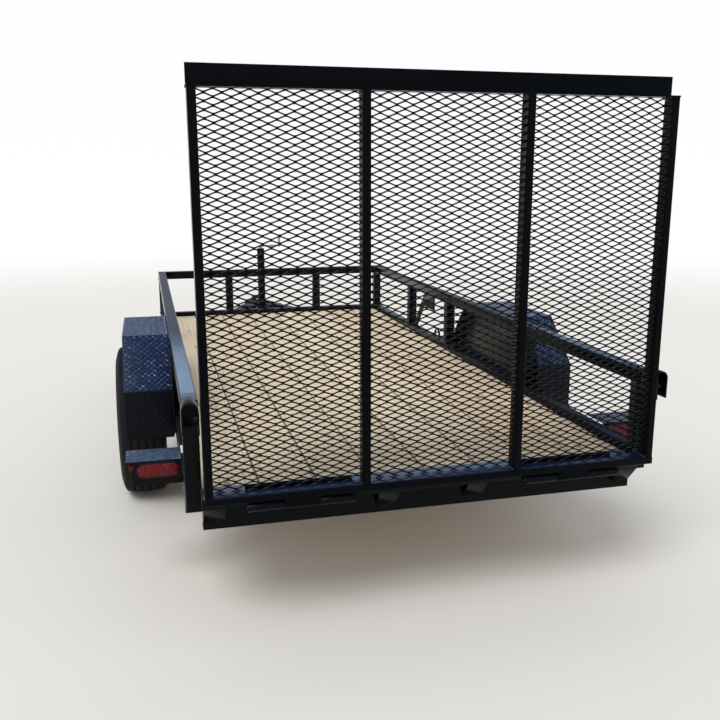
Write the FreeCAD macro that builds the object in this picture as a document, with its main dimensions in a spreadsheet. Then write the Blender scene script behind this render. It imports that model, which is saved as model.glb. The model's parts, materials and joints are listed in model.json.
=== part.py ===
import FreeCAD, Part
import math
import os
import re

import Sketcher
from FreeCAD import Placement, Rotation, Vector

# Utility trailer: single axle, wooden deck between tube rails, mesh ramp gate at the rear.
# Millimetres. +Y is the direction of travel, +X the right side, +Z up, the ground at Z = 0.
# The origin is on the ground, midway between the gate's rear face and the coupler's nose.

# Driving sizes: alias, value, what it measures
SIZES = (
    ("gate_standoff", 118.0, "from the gate's rear face to the rear end of the rails"),
    ("frame_length", 3540.0, "rails, from rear end to front face"),
    ("frame_width", 1625.6, "over the outer faces of the rails"),
    ("tube_size", 50.8, "square tube of top rails and posts"),
    ("tube_wall", 2.6, "wall of that tube"),
    ("tube_corner", 5.0, "outer corner radius of the tubes"),
    ("rail_bottom", 418.0, "underside of the deck's frame above the ground"),
    ("rail_height", 76.2, "height of the deck's frame tube"),
    ("rail_wall", 3.0, "wall of the deck's frame tube"),
    ("top_height", 785.0, "top of the top rail above the ground"),
    ("post_first", 923.0, "middle of the first side post ahead of the rails' rear end"),
    ("post_second", 1952.0, "middle of the second side post, the same way"),
    ("post_third", 2647.0, "middle of the third side post, the same way"),
    ("front_post", 320.0, "front posts from the trailer's middle"),
    ("deck_top", 466.0, "top of the boards above the ground"),
    ("board_thick", 38.0, "thickness of a deck board"),
    ("board_gap", 3.0, "gap between two boards"),
    ("board_end_gap", 2.0, "gap between the boards' front ends and the header"),
    ("board_count", 8.0, "number of deck boards"),
    ("cross_size", 50.8, "legs of the angle under the deck"),
    ("cross_thick", 4.8, "thickness of that angle"),
    ("cross_count", 7.0, "number of cross angles"),
    ("cross_inset", 20.0, "first cross angle ahead of the boards' rear ends"),
    ("notch_gap", 4.0, "clearance of the foremost cross angle round the tongue"),
    ("strip_depth", 80.0, "steel strip between the posts and the boards' rear ends"),
    ("ledge_start", 86.0, "rear ledge's rear face ahead of the gate's rear face"),
    ("ledge_lip", 32.0, "depth of the ledge's rear lip, with its plate"),
    ("ledge_thick", 6.0, "thickness of the rear ledge"),
    ("beam_bottom", 345.0, "underside of the rear beam above the ground"),
    ("beam_inset", 22.0, "rear beam's face ahead of the posts' rear faces"),
    ("beam_flange", 50.0, "flange width of the rear beam"),
    ("beam_thick", 6.0, "thickness of the rear beam"),
    ("gusset_width", 72.0, "width of a sloped gusset under the ledge"),
    ("gusset_thick", 8.0, "thickness of a gusset, measured level"),
    ("gusset_drop", 62.0, "fall of a gusset from the ledge's lip to the beam's face"),
    ("gusset_edge", 36.0, "middle of an outer gusset from the rail's inner face"),
    ("gusset_inner", 156.0, "middle of an inner gusset from the trailer's middle"),
    ("gate_inset", 52.8, "gate's outer uprights inside the rails' outer faces"),
    ("gate_bottom", 478.0, "underside of the gate above the ground"),
    ("gate_height", 1211.0, "gate frame without its top bar"),
    ("gate_face", 25.4, "width of the gate's flat tube, seen from behind"),
    ("gate_depth", 50.8, "depth of that tube, fore and aft"),
    ("gate_wall", 2.1, "wall of that tube"),
    ("bar_height", 66.0, "height of the gate's top bar"),
    ("bar_thick", 4.8, "thickness of the top bar's legs"),
    ("mesh_long", 50.8, "long way of one mesh diamond"),
    ("mesh_short", 23.4, "short way of one mesh diamond"),
    ("mesh_edge", 4.0, "mesh sheet's edges inside the gate's outline"),
    ("strand_width", 3.6, "width of a mesh strand"),
    ("strand_thick", 1.5, "thickness of a mesh strand"),
    ("seat_gap", 0.3, "gap of a piece from its seat"),
    ("hinge_radius", 13.5, "outer radius of a hinge knuckle"),
    ("pin_radius", 6.3, "radius of a hinge pin"),
    ("running_gap", 0.05, "radial clearance of a pin or spindle in its bore"),
    ("moving_gap", 5.0, "clearance between moving and fixed pieces"),
    ("hinge_inset", 126.5, "hinge's outer end from the gate's side"),
    ("hinge_length", 343.0, "length of one hinge"),
    ("knuckle_gap", 1.0, "gap between two knuckles"),
    ("stop_height", 50.0, "legs of the angle that stops the gate"),
    ("stop_thick", 5.0, "thickness of that angle"),
    ("latch_low", 702.0, "underside of a gate latch above the ground"),
    ("latch_height", 96.0, "height of a latch housing with its round top"),
    ("latch_width", 52.0, "width of a latch housing"),
    ("latch_back", 30.0, "latch housing's rear end ahead of the gate's rear face"),
    ("latch_wall", 5.0, "wall of a latch housing"),
    ("latch_radius", 8.0, "radius of the latch bolt"),
    ("axle_place", 1387.0, "axle ahead of the rails' rear end"),
    ("tyre_gap", 34.2, "from the rail's outer face to the tyre"),
    ("tyre_radius", 340.0, "rolling radius of the tyre"),
    ("tyre_width", 205.0, "width of the tyre"),
    ("bead_height", 71.0, "widest part of the tyre outside the bead seat"),
    ("crown_inset", 20.0, "tread's edge inside the tyre's widest part"),
    ("rim_radius", 190.5, "bead seat radius of the rim"),
    ("rim_width", 140.0, "outer width of the rim below its flared lips"),
    ("rim_lip", 12.0, "height of the rim's lip"),
    ("rim_thick", 5.0, "thickness of the rim"),
    ("disc_offset", 22.0, "rim disc outboard of the tyre's middle"),
    ("disc_crown", 22.0, "vent ring of the disc outboard of its mounting face"),
    ("disc_bore", 42.0, "radius of the rim disc's centre bore"),
    ("lug_circle", 57.15, "radius of the lug hole circle"),
    ("lug_radius", 7.0, "radius of a lug hole"),
    ("lug_count", 5.0, "number of lugs"),
    ("vent_circle", 128.0, "radius of the vent hole circle"),
    ("vent_radius", 17.0, "radius of a vent hole"),
    ("vent_count", 8.0, "number of vent holes"),
    ("hub_radius", 66.0, "radius of the hub's flange"),
    ("hub_flange", 12.0, "thickness of the hub's flange"),
    ("hub_barrel", 38.0, "radius of the hub's barrel"),
    ("hub_depth", 70.0, "hub's barrel inboard of its flange face"),
    ("cap_radius", 31.0, "radius of the hub's dust cap"),
    ("cap_reach", 62.0, "dust cap's reach outboard of the flange"),
    ("spindle_radius", 17.0, "radius of the axle's spindle"),
    ("spindle_reach", 30.0, "spindle's reach outboard of the flange"),
    ("axle_radius", 30.2, "radius of the axle tube"),
    ("spring_half", 320.0, "half the distance between the spring's eyes"),
    ("spring_width", 44.5, "width of the leaves"),
    ("leaf_thick", 6.4, "thickness of a leaf"),
    ("leaf_count", 4.0, "number of leaves"),
    ("eye_radius", 15.0, "outer radius of a spring eye"),
    ("eye_height", 375.0, "spring eyes above the ground"),
    ("bolt_radius", 7.0, "radius of the bolt in a spring eye"),
    ("bolt_reach", 14.0, "spring bolt's reach past the leaves"),
    ("hanger_length", 56.0, "length of a spring hanger"),
    ("hanger_wall", 5.0, "wall of a spring hanger"),
    ("hanger_drop", 20.0, "hanger's lower edge under the spring eye's centre"),
    ("tie_plate", 100.0, "side of the square plate under the spring"),
    ("tie_thick", 10.0, "thickness of that plate"),
    ("clamp_radius", 6.0, "radius of the bent bolts over the axle"),
    ("clamp_place", 32.0, "bent bolts from the spring's middle"),
    ("clamp_tail", 20.0, "bent bolts' reach below the leaves"),
    ("fender_width", 194.0, "width of a fender"),
    ("fender_top", 780.0, "top of the fender above the ground"),
    ("fender_flat", 495.0, "length of the fender's flat top"),
    ("fender_length", 926.0, "length of the fender over its slopes"),
    ("fender_bend", 585.0, "lower edge of the fender's slopes above the ground"),
    ("fender_low", 380.0, "lower edge of the fender's upright ends above the ground"),
    ("fender_lip", 24.0, "depth of the fender's outer lip"),
    ("sheet_thick", 3.0, "thickness of fender and lamp box sheet"),
    ("skirt_radius", 634.0, "radius of the inner skirt's rounded ends"),
    ("skirt_centre", 235.0, "centre of that radius above the ground"),
    ("skirt_low", 455.0, "lower edge of the inner skirt above the ground"),
    ("lamp_box_place", 292.0, "lamp box's rear face ahead of the rails' rear end"),
    ("lamp_box_depth", 130.0, "length of the lamp box"),
    ("lamp_box_width", 162.0, "width of the lamp box"),
    ("hood_reach", 23.0, "reach of the box's top past its outer side"),
    ("lamp_box_top", 500.0, "top of the lamp box above the ground"),
    ("lamp_box_height", 87.0, "height of the lamp box"),
    ("lamp_inset", 78.2, "lamp's middle from the rail's outer face"),
    ("lamp_length", 150.0, "length of the oval lamp"),
    ("lamp_height", 58.0, "height of the oval lamp"),
    ("lamp_drop", 33.0, "lamp's middle below the box's top"),
    ("lamp_depth", 22.0, "depth of the lamp"),
    ("lamp_proud", 8.0, "lamp's reach behind the box's rear face"),
    ("marker_length", 64.0, "length of a side marker lamp"),
    ("marker_height", 20.0, "height of a side marker lamp"),
    ("marker_depth", 14.0, "depth of a side marker lamp"),
    ("ring_setback", 60.0, "tie-down loops' middle behind the spare carrier's plate"),
    ("ring_radius", 38.0, "radius of a tie-down loop, to the rod's middle"),
    ("ring_rod", 6.0, "radius of the loop's rod"),
    ("ring_rise", 14.0, "straight legs of a loop"),
    ("spare_gap", 30.0, "spare carrier's arm from the third side post"),
    ("spare_reach", 268.0, "level run of the carrier's sloped arm"),
    ("spare_arm", 60.0, "width of that arm, measured level"),
    ("spare_thick", 8.0, "thickness of the carrier's steel"),
    ("spare_plate", 174.0, "length of the carrier's plate"),
    ("spare_drop", 88.0, "height of the carrier's plate"),
    ("tongue_root", 500.0, "tongue bars' rear ends behind the front rail's face"),
    ("tongue_apex", 905.0, "tongue bars' front ends ahead of the front rail's face"),
    ("tongue_spread", 612.0, "tongue bars' rear ends from the middle, to their inner faces"),
    ("tongue_width", 50.8, "width of a tongue bar"),
    ("tongue_depth", 76.2, "height of a tongue bar"),
    ("tongue_wall", 4.8, "wall of a tongue bar"),
    ("weld_gap", 0.2, "tongue bars' front ends from the middle"),
    ("coupler_reach", 92.0, "coupler's nose ahead of the tongue bars' front ends"),
    ("coupler_length", 235.0, "length of the coupler"),
    ("coupler_height", 57.0, "height of the coupler's walls below the bars' tops"),
    ("coupler_wall", 5.0, "thickness of the coupler's walls"),
    ("nose_radius", 40.0, "outer radius of the coupler's nose"),
    ("nose_rise", 27.0, "top of the coupler's nose above the tongue bars"),
    ("ball_radius", 25.4, "radius of the hitch ball"),
    ("ball_rise", 12.0, "centre of the hitch ball above the tongue bars' tops"),
    ("ball_gap", 0.5, "clearance round the hitch ball"),
    ("lever_length", 95.0, "length of the coupler's latch lever"),
    ("lever_width", 26.0, "width of the lever"),
    ("lever_thick", 8.0, "thickness of the lever"),
    ("lever_rise", 10.0, "lever's underside above the coupler"),
    ("jack_setback", 305.0, "jack behind the tongue bars' front ends"),
    ("jack_radius", 28.6, "outer radius of the jack's tube"),
    ("jack_wall", 4.0, "wall of the jack's tube"),
    ("jack_low", 330.0, "lower end of the jack's tube above the ground"),
    ("jack_top", 880.0, "top of the jack's tube above the ground"),
    ("jack_cap", 8.0, "thickness of the jack's closed top"),
    ("collar_width", 10.0, "width of the jack's flange round its tube"),
    ("leg_gap", 0.5, "clearance of the jack's leg in its tube"),
    ("leg_length", 480.0, "length of the jack's leg"),
    ("foot_radius", 75.0, "radius of the jack's foot"),
    ("foot_thick", 8.0, "thickness of the jack's foot"),
    ("crank_reach", 150.0, "length of the jack's crank arm"),
    ("crank_radius", 7.0, "radius of the crank's rod"),
    ("crank_rise", 20.0, "crank arm above the jack's top"),
    ("grip_length", 70.0, "length of the crank's grip"),
    ("plate_thick", 8.0, "thickness of the jack's mounting plate"),
    ("plate_length", 120.0, "length of the jack's mounting plate"),
)

doc = FreeCAD.newDocument("UtilityTrailer")
sheet = doc.addObject("Spreadsheet::Sheet", "Sizes")
for row, (alias, value, meaning) in enumerate(SIZES, start=1):
    sheet.set(f"A{row}", str(value))
    sheet.setAlias(f"A{row}", alias)
    sheet.set(f"B{row}", meaning)
doc.recompute()

SIDES = (("left", -1), ("right", 1))
X_WAY, Y_WAY, Z_WAY = Vector(1, 0, 0), Vector(0, 1, 0), Vector(0, 0, 1)
WORD = re.compile(r"[a-z]+(?:_[a-z]+)+")
NODES = []

# Places that many pieces share, as formulas over the sheet's aliases
LENGTH = "(gate_standoff + frame_length + tongue_apex + coupler_reach)"
REAR = "gate_standoff"
FRONT = "gate_standoff + frame_length"
HALF = "frame_width / 2"
INNER = "(frame_width / 2 - tube_size)"
GATE_HALF = "(frame_width / 2 - gate_inset)"
RAIL_TOP = "(rail_bottom + rail_height)"
TOP_LOW = "(top_height - tube_size)"
BOARD_LOW = "(deck_top - board_thick)"
LEDGE_LOW = "(deck_top - ledge_thick)"
LIP_LOW = "(deck_top - ledge_lip)"
AXLE = "(gate_standoff + axle_place)"
WHEEL = "(frame_width / 2 + tyre_gap + tyre_width / 2)"
SPRING = "(frame_width / 2 - tube_size / 2)"
HINGE = "(frame_width / 2 - gate_inset - hinge_inset - hinge_length / 2)"
HINGE_HEIGHT = "(gate_bottom - moving_gap - hinge_radius)"
KNUCKLE = "(hinge_length / 3)"
SLOPE = "((tongue_spread - weld_gap) / (tongue_root + tongue_apex))"
BAR = f"(tongue_width * sqrt(1 + {SLOPE} * {SLOPE}))"
JACK = f"({FRONT} + tongue_apex - jack_setback)"
SPARE_END = f"({REAR} + post_third - tube_size / 2 - spare_gap)"
SPARE_REAR = f"({SPARE_END} - spare_reach - spare_plate + spare_arm)"


def size(alias):
    """The value of one cell of the sheet."""
    return float(sheet.get(alias))


def linked(formula):
    """A formula over the sheet's aliases, as an expression."""
    return WORD.sub(lambda word: "Sizes." + word.group(0), formula)


def bind(piece, prop, formula):
    piece.setExpression(prop, linked(formula))


def along(formula):
    """A place measured forward from the gate's rear face, in the trailer's own frame."""
    return f"({formula}) - {LENGTH} / 2"


def span(sign, inner, outer):
    """Low and high X of something between two distances from the middle, on one side."""
    if sign > 0:
        return inner, outer
    return f"-({outer})", f"-({inner})"


def about(middle, width):
    """Low and high of something of one width about its middle."""
    return f"{middle} - {width} / 2", f"{middle} + {width} / 2"


def block(name, xs, ys, zs):
    """A rectangular block between two X, two Y and two Z formulas, Y from the gate's rear face."""
    piece = doc.addObject("Part::Box", name)
    spans = (("Length", "x", xs), ("Width", "y", tuple(along(y) for y in ys)), ("Height", "z", zs))
    for prop, letter, (low, high) in spans:
        bind(piece, prop, f"({high}) - ({low})")
        bind(piece, f"Placement.Base.{letter}", low)
    return piece


def rounded(piece, way, radius):
    """The piece with its edges along one direction rounded."""
    doc.recompute([piece])
    edges = [
        number
        for number, edge in enumerate(piece.Shape.Edges, start=1)
        if abs(edge.tangentAt(edge.FirstParameter).dot(way)) > 0.99
    ]
    soft = doc.addObject("Part::Fillet", piece.Name + "Rounded")
    soft.Base = piece
    soft.Edges = [(number, radius, radius) for number in edges]
    return soft


def tube(name, way, xs, ys, zs, wall="tube_wall", capped=False):
    """A hollow steel tube with rounded corners along one direction, its ends open or capped."""
    outer = rounded(block(name, xs, ys, zs), way, size("tube_corner"))
    spans = []
    for direction, (low, high) in zip((X_WAY, Y_WAY, Z_WAY), (xs, ys, zs)):
        inset = f"-{wall}" if direction == way and not capped else wall
        spans.append((f"{low} + {inset}", f"{high} - ({inset})"))
    return cut(f"{name}Tube", outer, block(f"{name}Bore", *spans))


def cylinder(name, way, centre, radius, length):
    """A round bar from its centre point along one direction, Y from the gate's rear face."""
    piece = doc.addObject("Part::Cylinder", name)
    bind(piece, "Radius", radius)
    bind(piece, "Height", length)
    piece.Placement = Placement(Vector(0, 0, 0), Rotation(Z_WAY, way))
    place(piece, centre)
    return piece


def place(piece, centre):
    """Binds a piece's place to three formulas, Y from the gate's rear face."""
    x, y, z = centre
    bind(piece, "Placement.Base.x", x)
    bind(piece, "Placement.Base.y", along(y))
    bind(piece, "Placement.Base.z", z)


def fused(name, pieces):
    whole = doc.addObject("Part::MultiFuse", name)
    whole.Shapes = pieces
    return whole


def cut(name, base, tool):
    rest = doc.addObject("Part::Cut", name)
    rest.Base = base
    rest.Tool = tool
    return rest


def common(name, base, tool):
    shared = doc.addObject("Part::Common", name)
    shared.Base = base
    shared.Tool = tool
    return shared


def gathered(name, pieces):
    """Like pieces that share a node."""
    group = doc.addObject("Part::Compound", name)
    group.Links = pieces
    return group


def outline(body, name, role, points):
    """A closed sketch of straight lines, each corner held by two formulas."""
    sketch = body.newObject("Sketcher::SketchObject", name)
    plane = next(feature for feature in body.Origin.OriginFeatures if feature.Role == role)
    sketch.AttachmentSupport = [(plane, "")]
    sketch.MapMode = "FlatFace"
    count = len(points)
    for index in range(count):
        start = Vector(index, index * index, 0)
        end = Vector(index + 1, (index + 1) ** 2, 0)
        sketch.addGeometry(Part.LineSegment(start, end), False)
    for index in range(count):
        sketch.addConstraint(Sketcher.Constraint("Coincident", index, 2, (index + 1) % count, 1))
    for index, pair in enumerate(points):
        for kind, formula in zip(("DistanceX", "DistanceY"), pair):
            number = sketch.addConstraint(Sketcher.Constraint(kind, -1, 1, index, 1, 1.0))
            sketch.setExpression(f"Constraints[{number}]", linked(formula))
    return sketch


def padded(name, role, points, length, centre):
    """A body made by padding one outline, moved to its place."""
    body = doc.addObject("PartDesign::Body", name)
    pad = body.newObject("PartDesign::Pad", name + "Pad")
    pad.Profile = outline(body, name + "Outline", role, points)
    bind(pad, "Length", length)
    place(body, centre)
    return body


def revolved(name, points, centre):
    """A body turned about a line along X from an outline of (distance along X, radius)."""
    body = doc.addObject("PartDesign::Body", name)
    turn = body.newObject("PartDesign::Revolution", name + "Turn")
    sketch = outline(body, name + "Outline", "XY_Plane", points)
    turn.Profile = sketch
    turn.ReferenceAxis = (sketch, ["H_Axis"])
    turn.Angle = 360
    place(body, centre)
    return body


def solid(name, shape, centre):
    """A shape worked out about its own centre, then moved to its place."""
    piece = doc.addObject("Part::Feature", name)
    piece.Shape = shape
    place(piece, centre)
    return piece


def node(label, piece):
    """Marks a finished piece as a sub-part and gives it its file name."""
    piece.Label = label
    NODES.append(piece)


# Deck frame: side rails, front header, cross angles, boards
def deck_frame():
    for side, sign in SIDES:
        rail = tube(f"SideRail{side}", Y_WAY, span(sign, INNER, HALF),
                    (f"{REAR} + tube_size", FRONT), ("rail_bottom", RAIL_TOP), "rail_wall", capped=True)
        node(f"side_rail_{side}", rail)
    header = tube("FrontHeader", X_WAY, (f"-{INNER}", INNER),
                  (f"{FRONT} - tube_size", FRONT), ("rail_bottom", RAIL_TOP), "rail_wall")
    node("front_header", header)
    node("cross_angles", gathered("CrossAngles", cross_angles()))
    node("deck_boards", gathered("DeckBoards", deck_boards()))


def cross_angles():
    """Angles under the boards, their standing legs carried on under the side rails."""
    first = f"{REAR} + strip_depth + cross_inset"
    last = f"{FRONT} - tube_size - cross_size - notch_gap"
    count = round(size("cross_count"))
    angles = []
    for index in range(count):
        start = f"({first}) + (({last}) - ({first})) * {index} / {count - 1}"
        leg = (start, f"{start} + cross_thick")
        foot = block(f"CrossFoot{index}", (f"-({HALF})", HALF), leg,
                     (f"{BOARD_LOW} - cross_size", "rail_bottom"))
        if index == count - 1:
            foot = cut("CrossFootCoped", foot, tongue_notches(start))
        stem = block(f"CrossStem{index}", (f"-{INNER}", INNER), leg, ("rail_bottom", BOARD_LOW))
        flange = block(f"CrossFlange{index}", (f"-{INNER}", INNER), (start, f"{start} + cross_size"),
                       (f"{BOARD_LOW} - cross_thick", BOARD_LOW))
        angles.append(fused(f"CrossAngle{index}", [foot, stem, flange]))
    return angles


def tongue_face(ahead):
    """Distance of a tongue bar's inner face from the middle, at a place ahead of the front rail."""
    return f"(weld_gap + (tongue_apex - ({ahead})) * {SLOPE})"


def tongue_notches(start):
    """Gaps in the foremost cross angle where the tongue bars pass under it."""
    face = tongue_face(f"{start} - ({FRONT})")
    notches = []
    for side, sign in SIDES:
        xs = span(sign, f"{face} - notch_gap - cross_thick", f"{face} + {BAR} + notch_gap")
        notches.append(block(f"CrossNotch{side}", xs, (f"{start} - notch_gap", f"{start} + 2 * cross_thick"),
                             (f"{BOARD_LOW} - 2 * cross_size", "rail_bottom")))
    return fused("CrossNotches", notches)


def deck_boards():
    count = round(size("board_count"))
    pitch = f"2 * {INNER} / {count}"
    boards = []
    for index in range(count):
        low = f"-{INNER} + {pitch} * {index} + board_gap / 2"
        boards.append(block(f"Board{index}", (low, f"{low} + {pitch} - board_gap"),
                            (f"{REAR} + strip_depth", f"{FRONT} - tube_size - board_end_gap"),
                            (BOARD_LOW, "deck_top")))
    return boards


# Top rails and posts
def railing():
    top = (TOP_LOW, "top_height")
    for side, sign in SIDES:
        across = span(sign, INNER, HALF)
        rail = tube(f"TopRail{side}", Y_WAY, across, (REAR, FRONT), top, capped=True)
        node(f"top_rail_{side}", rail)
        rear = tube(f"RearPost{side}", Z_WAY, across, (REAR, f"{REAR} + tube_size"),
                    ("rail_bottom", TOP_LOW), capped=True)
        node(f"rear_post_{side}", rear)
        posts = []
        for which in ("post_first", "post_second", "post_third"):
            depth = about(f"{REAR} + {which}", "tube_size")
            posts.append(tube(f"Side{which}{side}", Z_WAY, across, depth, (RAIL_TOP, TOP_LOW)))
        posts.append(tube(f"CornerPost{side}", Z_WAY, across, (f"{FRONT} - tube_size", FRONT),
                          (RAIL_TOP, TOP_LOW)))
        node(f"side_posts_{side}", gathered(f"SidePosts{side}", posts))
    depth = (f"{FRONT} - tube_size", FRONT)
    node("front_rail", tube("FrontRail", X_WAY, (f"-{INNER}", INNER), depth, top))
    posts = [
        tube(f"FrontPost{side}", Z_WAY, about(f"{sign} * front_post", "tube_size"), depth,
             (RAIL_TOP, TOP_LOW))
        for side, sign in SIDES
    ]
    node("front_posts", gathered("FrontPosts", posts))


# Rear end: channel beam, ledge plate with its hinge knuckles, sloped gussets, gate stops
def rear_end():
    face = f"{REAR} + beam_inset"
    across = (f"-{INNER}", INNER)
    web = block("BeamWeb", across, (face, f"{face} + beam_thick"), ("beam_bottom", LEDGE_LOW))
    foot = block("BeamFoot", across, (face, f"{face} + beam_flange"),
                 ("beam_bottom", "beam_bottom + beam_thick"))
    node("rear_beam", fused("RearBeam", [web, foot]))
    plate = block("LedgePlate", across, ("ledge_start", f"{REAR} + strip_depth"), (LEDGE_LOW, "deck_top"))
    lip = block("LedgeLip", across, ("ledge_start", "ledge_start + ledge_thick"), (LIP_LOW, "deck_top"))
    ledge = fused("LedgeWhole", [plate, lip] + fixed_knuckles())
    node("rear_ledge", cut("RearLedge", ledge, hinge_bores("Ledge")))
    node("ledge_gussets", gathered("LedgeGussets", gussets()))
    node("gate_stops", gathered("GateStops", [gate_stop(side, sign) for side, sign in SIDES]))
    pins = [
        cylinder(f"HingePin{side}", X_WAY, (hinge_span(sign, "0")[0], "hinge_radius", HINGE_HEIGHT),
                 "pin_radius", "hinge_length")
        for side, sign in SIDES
    ]
    node("hinge_pins", gathered("HingePins", pins))


def hinge_span(sign, extra):
    """Low and high X of one hinge, widened at both ends."""
    middle = f"{sign} * {HINGE}"
    return f"{middle} - hinge_length / 2 - {extra}", f"{middle} + hinge_length / 2 + {extra}"


def fixed_knuckles():
    """Outer knuckles of each hinge with the bars that join them to the ledge's lip."""
    pieces = []
    for side, sign in SIDES:
        low, high = hinge_span(sign, "0")
        for end, start in (("Low", low), ("High", f"{high} - {KNUCKLE}")):
            pieces.append(cylinder(f"Knuckle{side}{end}", X_WAY, (start, "hinge_radius", HINGE_HEIGHT),
                                   "hinge_radius", KNUCKLE))
            pieces.append(block(f"Tab{side}{end}", (start, f"{start} + {KNUCKLE}"),
                                ("hinge_radius", "ledge_start + ledge_thick"),
                                (f"{HINGE_HEIGHT} - ledge_thick / 2", f"{HINGE_HEIGHT} + ledge_thick / 2")))
    return pieces


def hinge_bores(prefix):
    """The round bore along each hinge's axis."""
    bores = []
    for side, sign in SIDES:
        start = hinge_span(sign, "knuckle_gap")[0]
        bores.append(cylinder(f"{prefix}Bore{side}", X_WAY, (start, "hinge_radius", HINGE_HEIGHT),
                              "pin_radius + running_gap", "hinge_length + 2 * knuckle_gap"))
    return fused(f"{prefix}Bores", bores)


def gussets():
    """Flat tabs that slope forward and down from the ledge's lip to the beam's face."""
    reach, low = f"{REAR} + beam_inset", f"{LIP_LOW} - gusset_drop"
    points = (("ledge_start", LIP_LOW), ("ledge_start + gusset_thick", LIP_LOW),
              (reach, f"{low} + gusset_thick"), (reach, low))
    tabs = []
    for place_name, from_middle in (("Outer", f"({INNER} - gusset_edge)"), ("Inner", "gusset_inner")):
        for side, sign in SIDES:
            tabs.append(padded(f"Gusset{place_name}{side}", "YZ_Plane", points, "gusset_width",
                               (f"{sign} * {from_middle} - gusset_width / 2", "0", "0")))
    return tabs


def gate_stop(side, sign):
    """An angle on the ledge whose upright leg, behind the ledge's rear face, stops the gate."""
    start = "gate_depth + bar_thick + moving_gap"
    thin, long = f"{start} + stop_thick", f"{start} + stop_height"
    xs = hinge_span(sign, "0")
    leg = block(f"StopLeg{side}", xs, (start, thin), ("deck_top", "deck_top + stop_height"))
    foot = block(f"StopFoot{side}", xs, (start, long), ("deck_top", "deck_top + stop_thick"))
    return fused(f"Stop{side}", [leg, foot])


# Gate: uprights and sill, top bar, mesh, its own hinge knuckles
GATE_POSTS = (-1.0, -0.343, 0.343, 1.0)


def gate():
    top = "(gate_bottom + gate_height)"
    depth = ("0", "gate_depth")
    across = (f"-{GATE_HALF}", GATE_HALF)
    pieces = [tube("GateSill", X_WAY, across, depth, ("gate_bottom", "gate_bottom + gate_face"), "gate_wall",
                   capped=True)]
    for index, share in enumerate(GATE_POSTS):
        middle = f"{share:.6f} * ({GATE_HALF} - gate_face / 2)"
        pieces.append(tube(f"Upright{index}", Z_WAY, about(middle, "gate_face"), depth,
                           ("gate_bottom + gate_face", top), "gate_wall"))
    reach = "gate_depth + bar_thick"
    pieces.append(block("BarFoot", across, ("0", reach), (top, f"{top} + bar_thick")))
    pieces.append(block("BarLeg", across, ("gate_depth", reach), (top, f"{top} + bar_height")))
    for side, sign in SIDES:
        start = f"{sign} * {HINGE} - {KNUCKLE} / 2 + knuckle_gap"
        width = f"({KNUCKLE} - 2 * knuckle_gap)"
        pieces.append(cylinder(f"GateKnuckle{side}", X_WAY, (start, "hinge_radius", HINGE_HEIGHT),
                               "hinge_radius", width))
        pieces.append(block(f"GateTab{side}", (start, f"{start} + {width}"), ("0", "2 * hinge_radius"),
                            (HINGE_HEIGHT, "gate_bottom + gate_wall / 2")))
    node("gate_frame", cut("GateFrame", fused("GateWhole", pieces), hinge_bores("Gate")))
    node("gate_mesh", gathered("GateMesh", mesh_strands()))


def mesh_strands():
    """Strands of the expanded mesh, a layer each way, clipped to the gate's outline.

    A strand rises half of mesh_short for each half of mesh_long across, so each crosses
    the gate on one slant, and like strands stand one mesh_short apart.
    """
    edge, thick, width = size("mesh_edge"), size("strand_thick"), size("strand_width")
    wide = size("frame_width") - 2 * size("gate_inset") - 2 * edge
    high = size("gate_height") - 2 * edge
    pitch, slant, gap = size("mesh_short"), size("mesh_short") / size("mesh_long"), size("seat_gap")
    rise = wide * slant
    window = Part.makeBox(wide, 4 * thick, high, Vector(-wide / 2, 0, 0))
    lift = Vector(0, 0, width / 2 * math.hypot(1, slant))
    corner = ("0", "gate_depth", "gate_bottom + mesh_edge")
    strands = []
    for layer, way in enumerate((1, -1)):
        depth = gap + layer * (thick + gap)
        for index in range(int((high + rise) / pitch) + 1):
            start = pitch * (index + 0.5) - rise
            left = Vector(-way * wide / 2, depth, start)
            right = Vector(way * wide / 2, depth, start + rise)
            ring = Part.makePolygon([left - lift, right - lift, right + lift, left + lift, left - lift])
            strand = Part.Face(ring).extrude(Y_WAY * thick).common(window)
            if strand.Volume > width * thick:
                strands.append(solid(f"Strand{layer}n{index}", strand, corner))
    return strands


# Gate latches on the rear posts: a housing with a round top and a bolt towards the gate
def latches():
    middle = "(latch_low + latch_height - latch_width / 2)"
    depth, inner_depth = ("latch_back", REAR), ("latch_back - latch_wall", f"{REAR} - latch_wall")
    tab_depth = ("gate_depth / 2 - latch_radius - latch_wall", "latch_back + latch_wall")
    bolt_place = ("gate_depth / 2", "latch_low + latch_height / 2")
    near, far = f"({GATE_HALF} + moving_gap)", f"({GATE_HALF} + moving_gap + latch_width / 3)"
    pieces = []
    for side, sign in SIDES:
        centre = f"{sign} * ({near} + latch_width / 2)"
        outer = arch(f"LatchOuter{side}", centre, middle, depth, "latch_width / 2", "latch_low")
        hollow = arch(f"LatchInner{side}", centre, middle, inner_depth, "(latch_width / 2 - latch_wall)",
                      "latch_low - latch_wall")
        housing = cut(f"LatchHousing{side}", outer, hollow)
        tab = block(f"LatchTab{side}", span(sign, near, f"{near} + latch_wall"), tab_depth,
                    ("latch_low", middle))
        bolt = cylinder(f"LatchBolt{side}", X_WAY, (span(sign, near, far)[0], *bolt_place), "latch_radius",
                        "latch_width / 3")
        pieces.append(fused(f"Latch{side}", [housing, tab, bolt]))
    node("gate_latches", gathered("GateLatches", pieces))


def arch(name, centre, middle, depth, radius, low):
    """A block with a half-round top, its length along Y."""
    base = block(f"{name}Base", (f"{centre} - {radius}", f"{centre} + {radius}"), depth, (low, middle))
    length = f"({depth[1]}) - ({depth[0]})"
    crown = cylinder(f"{name}Crown", Y_WAY, (centre, depth[0], middle), radius, length)
    return fused(name, [base, crown])


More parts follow.
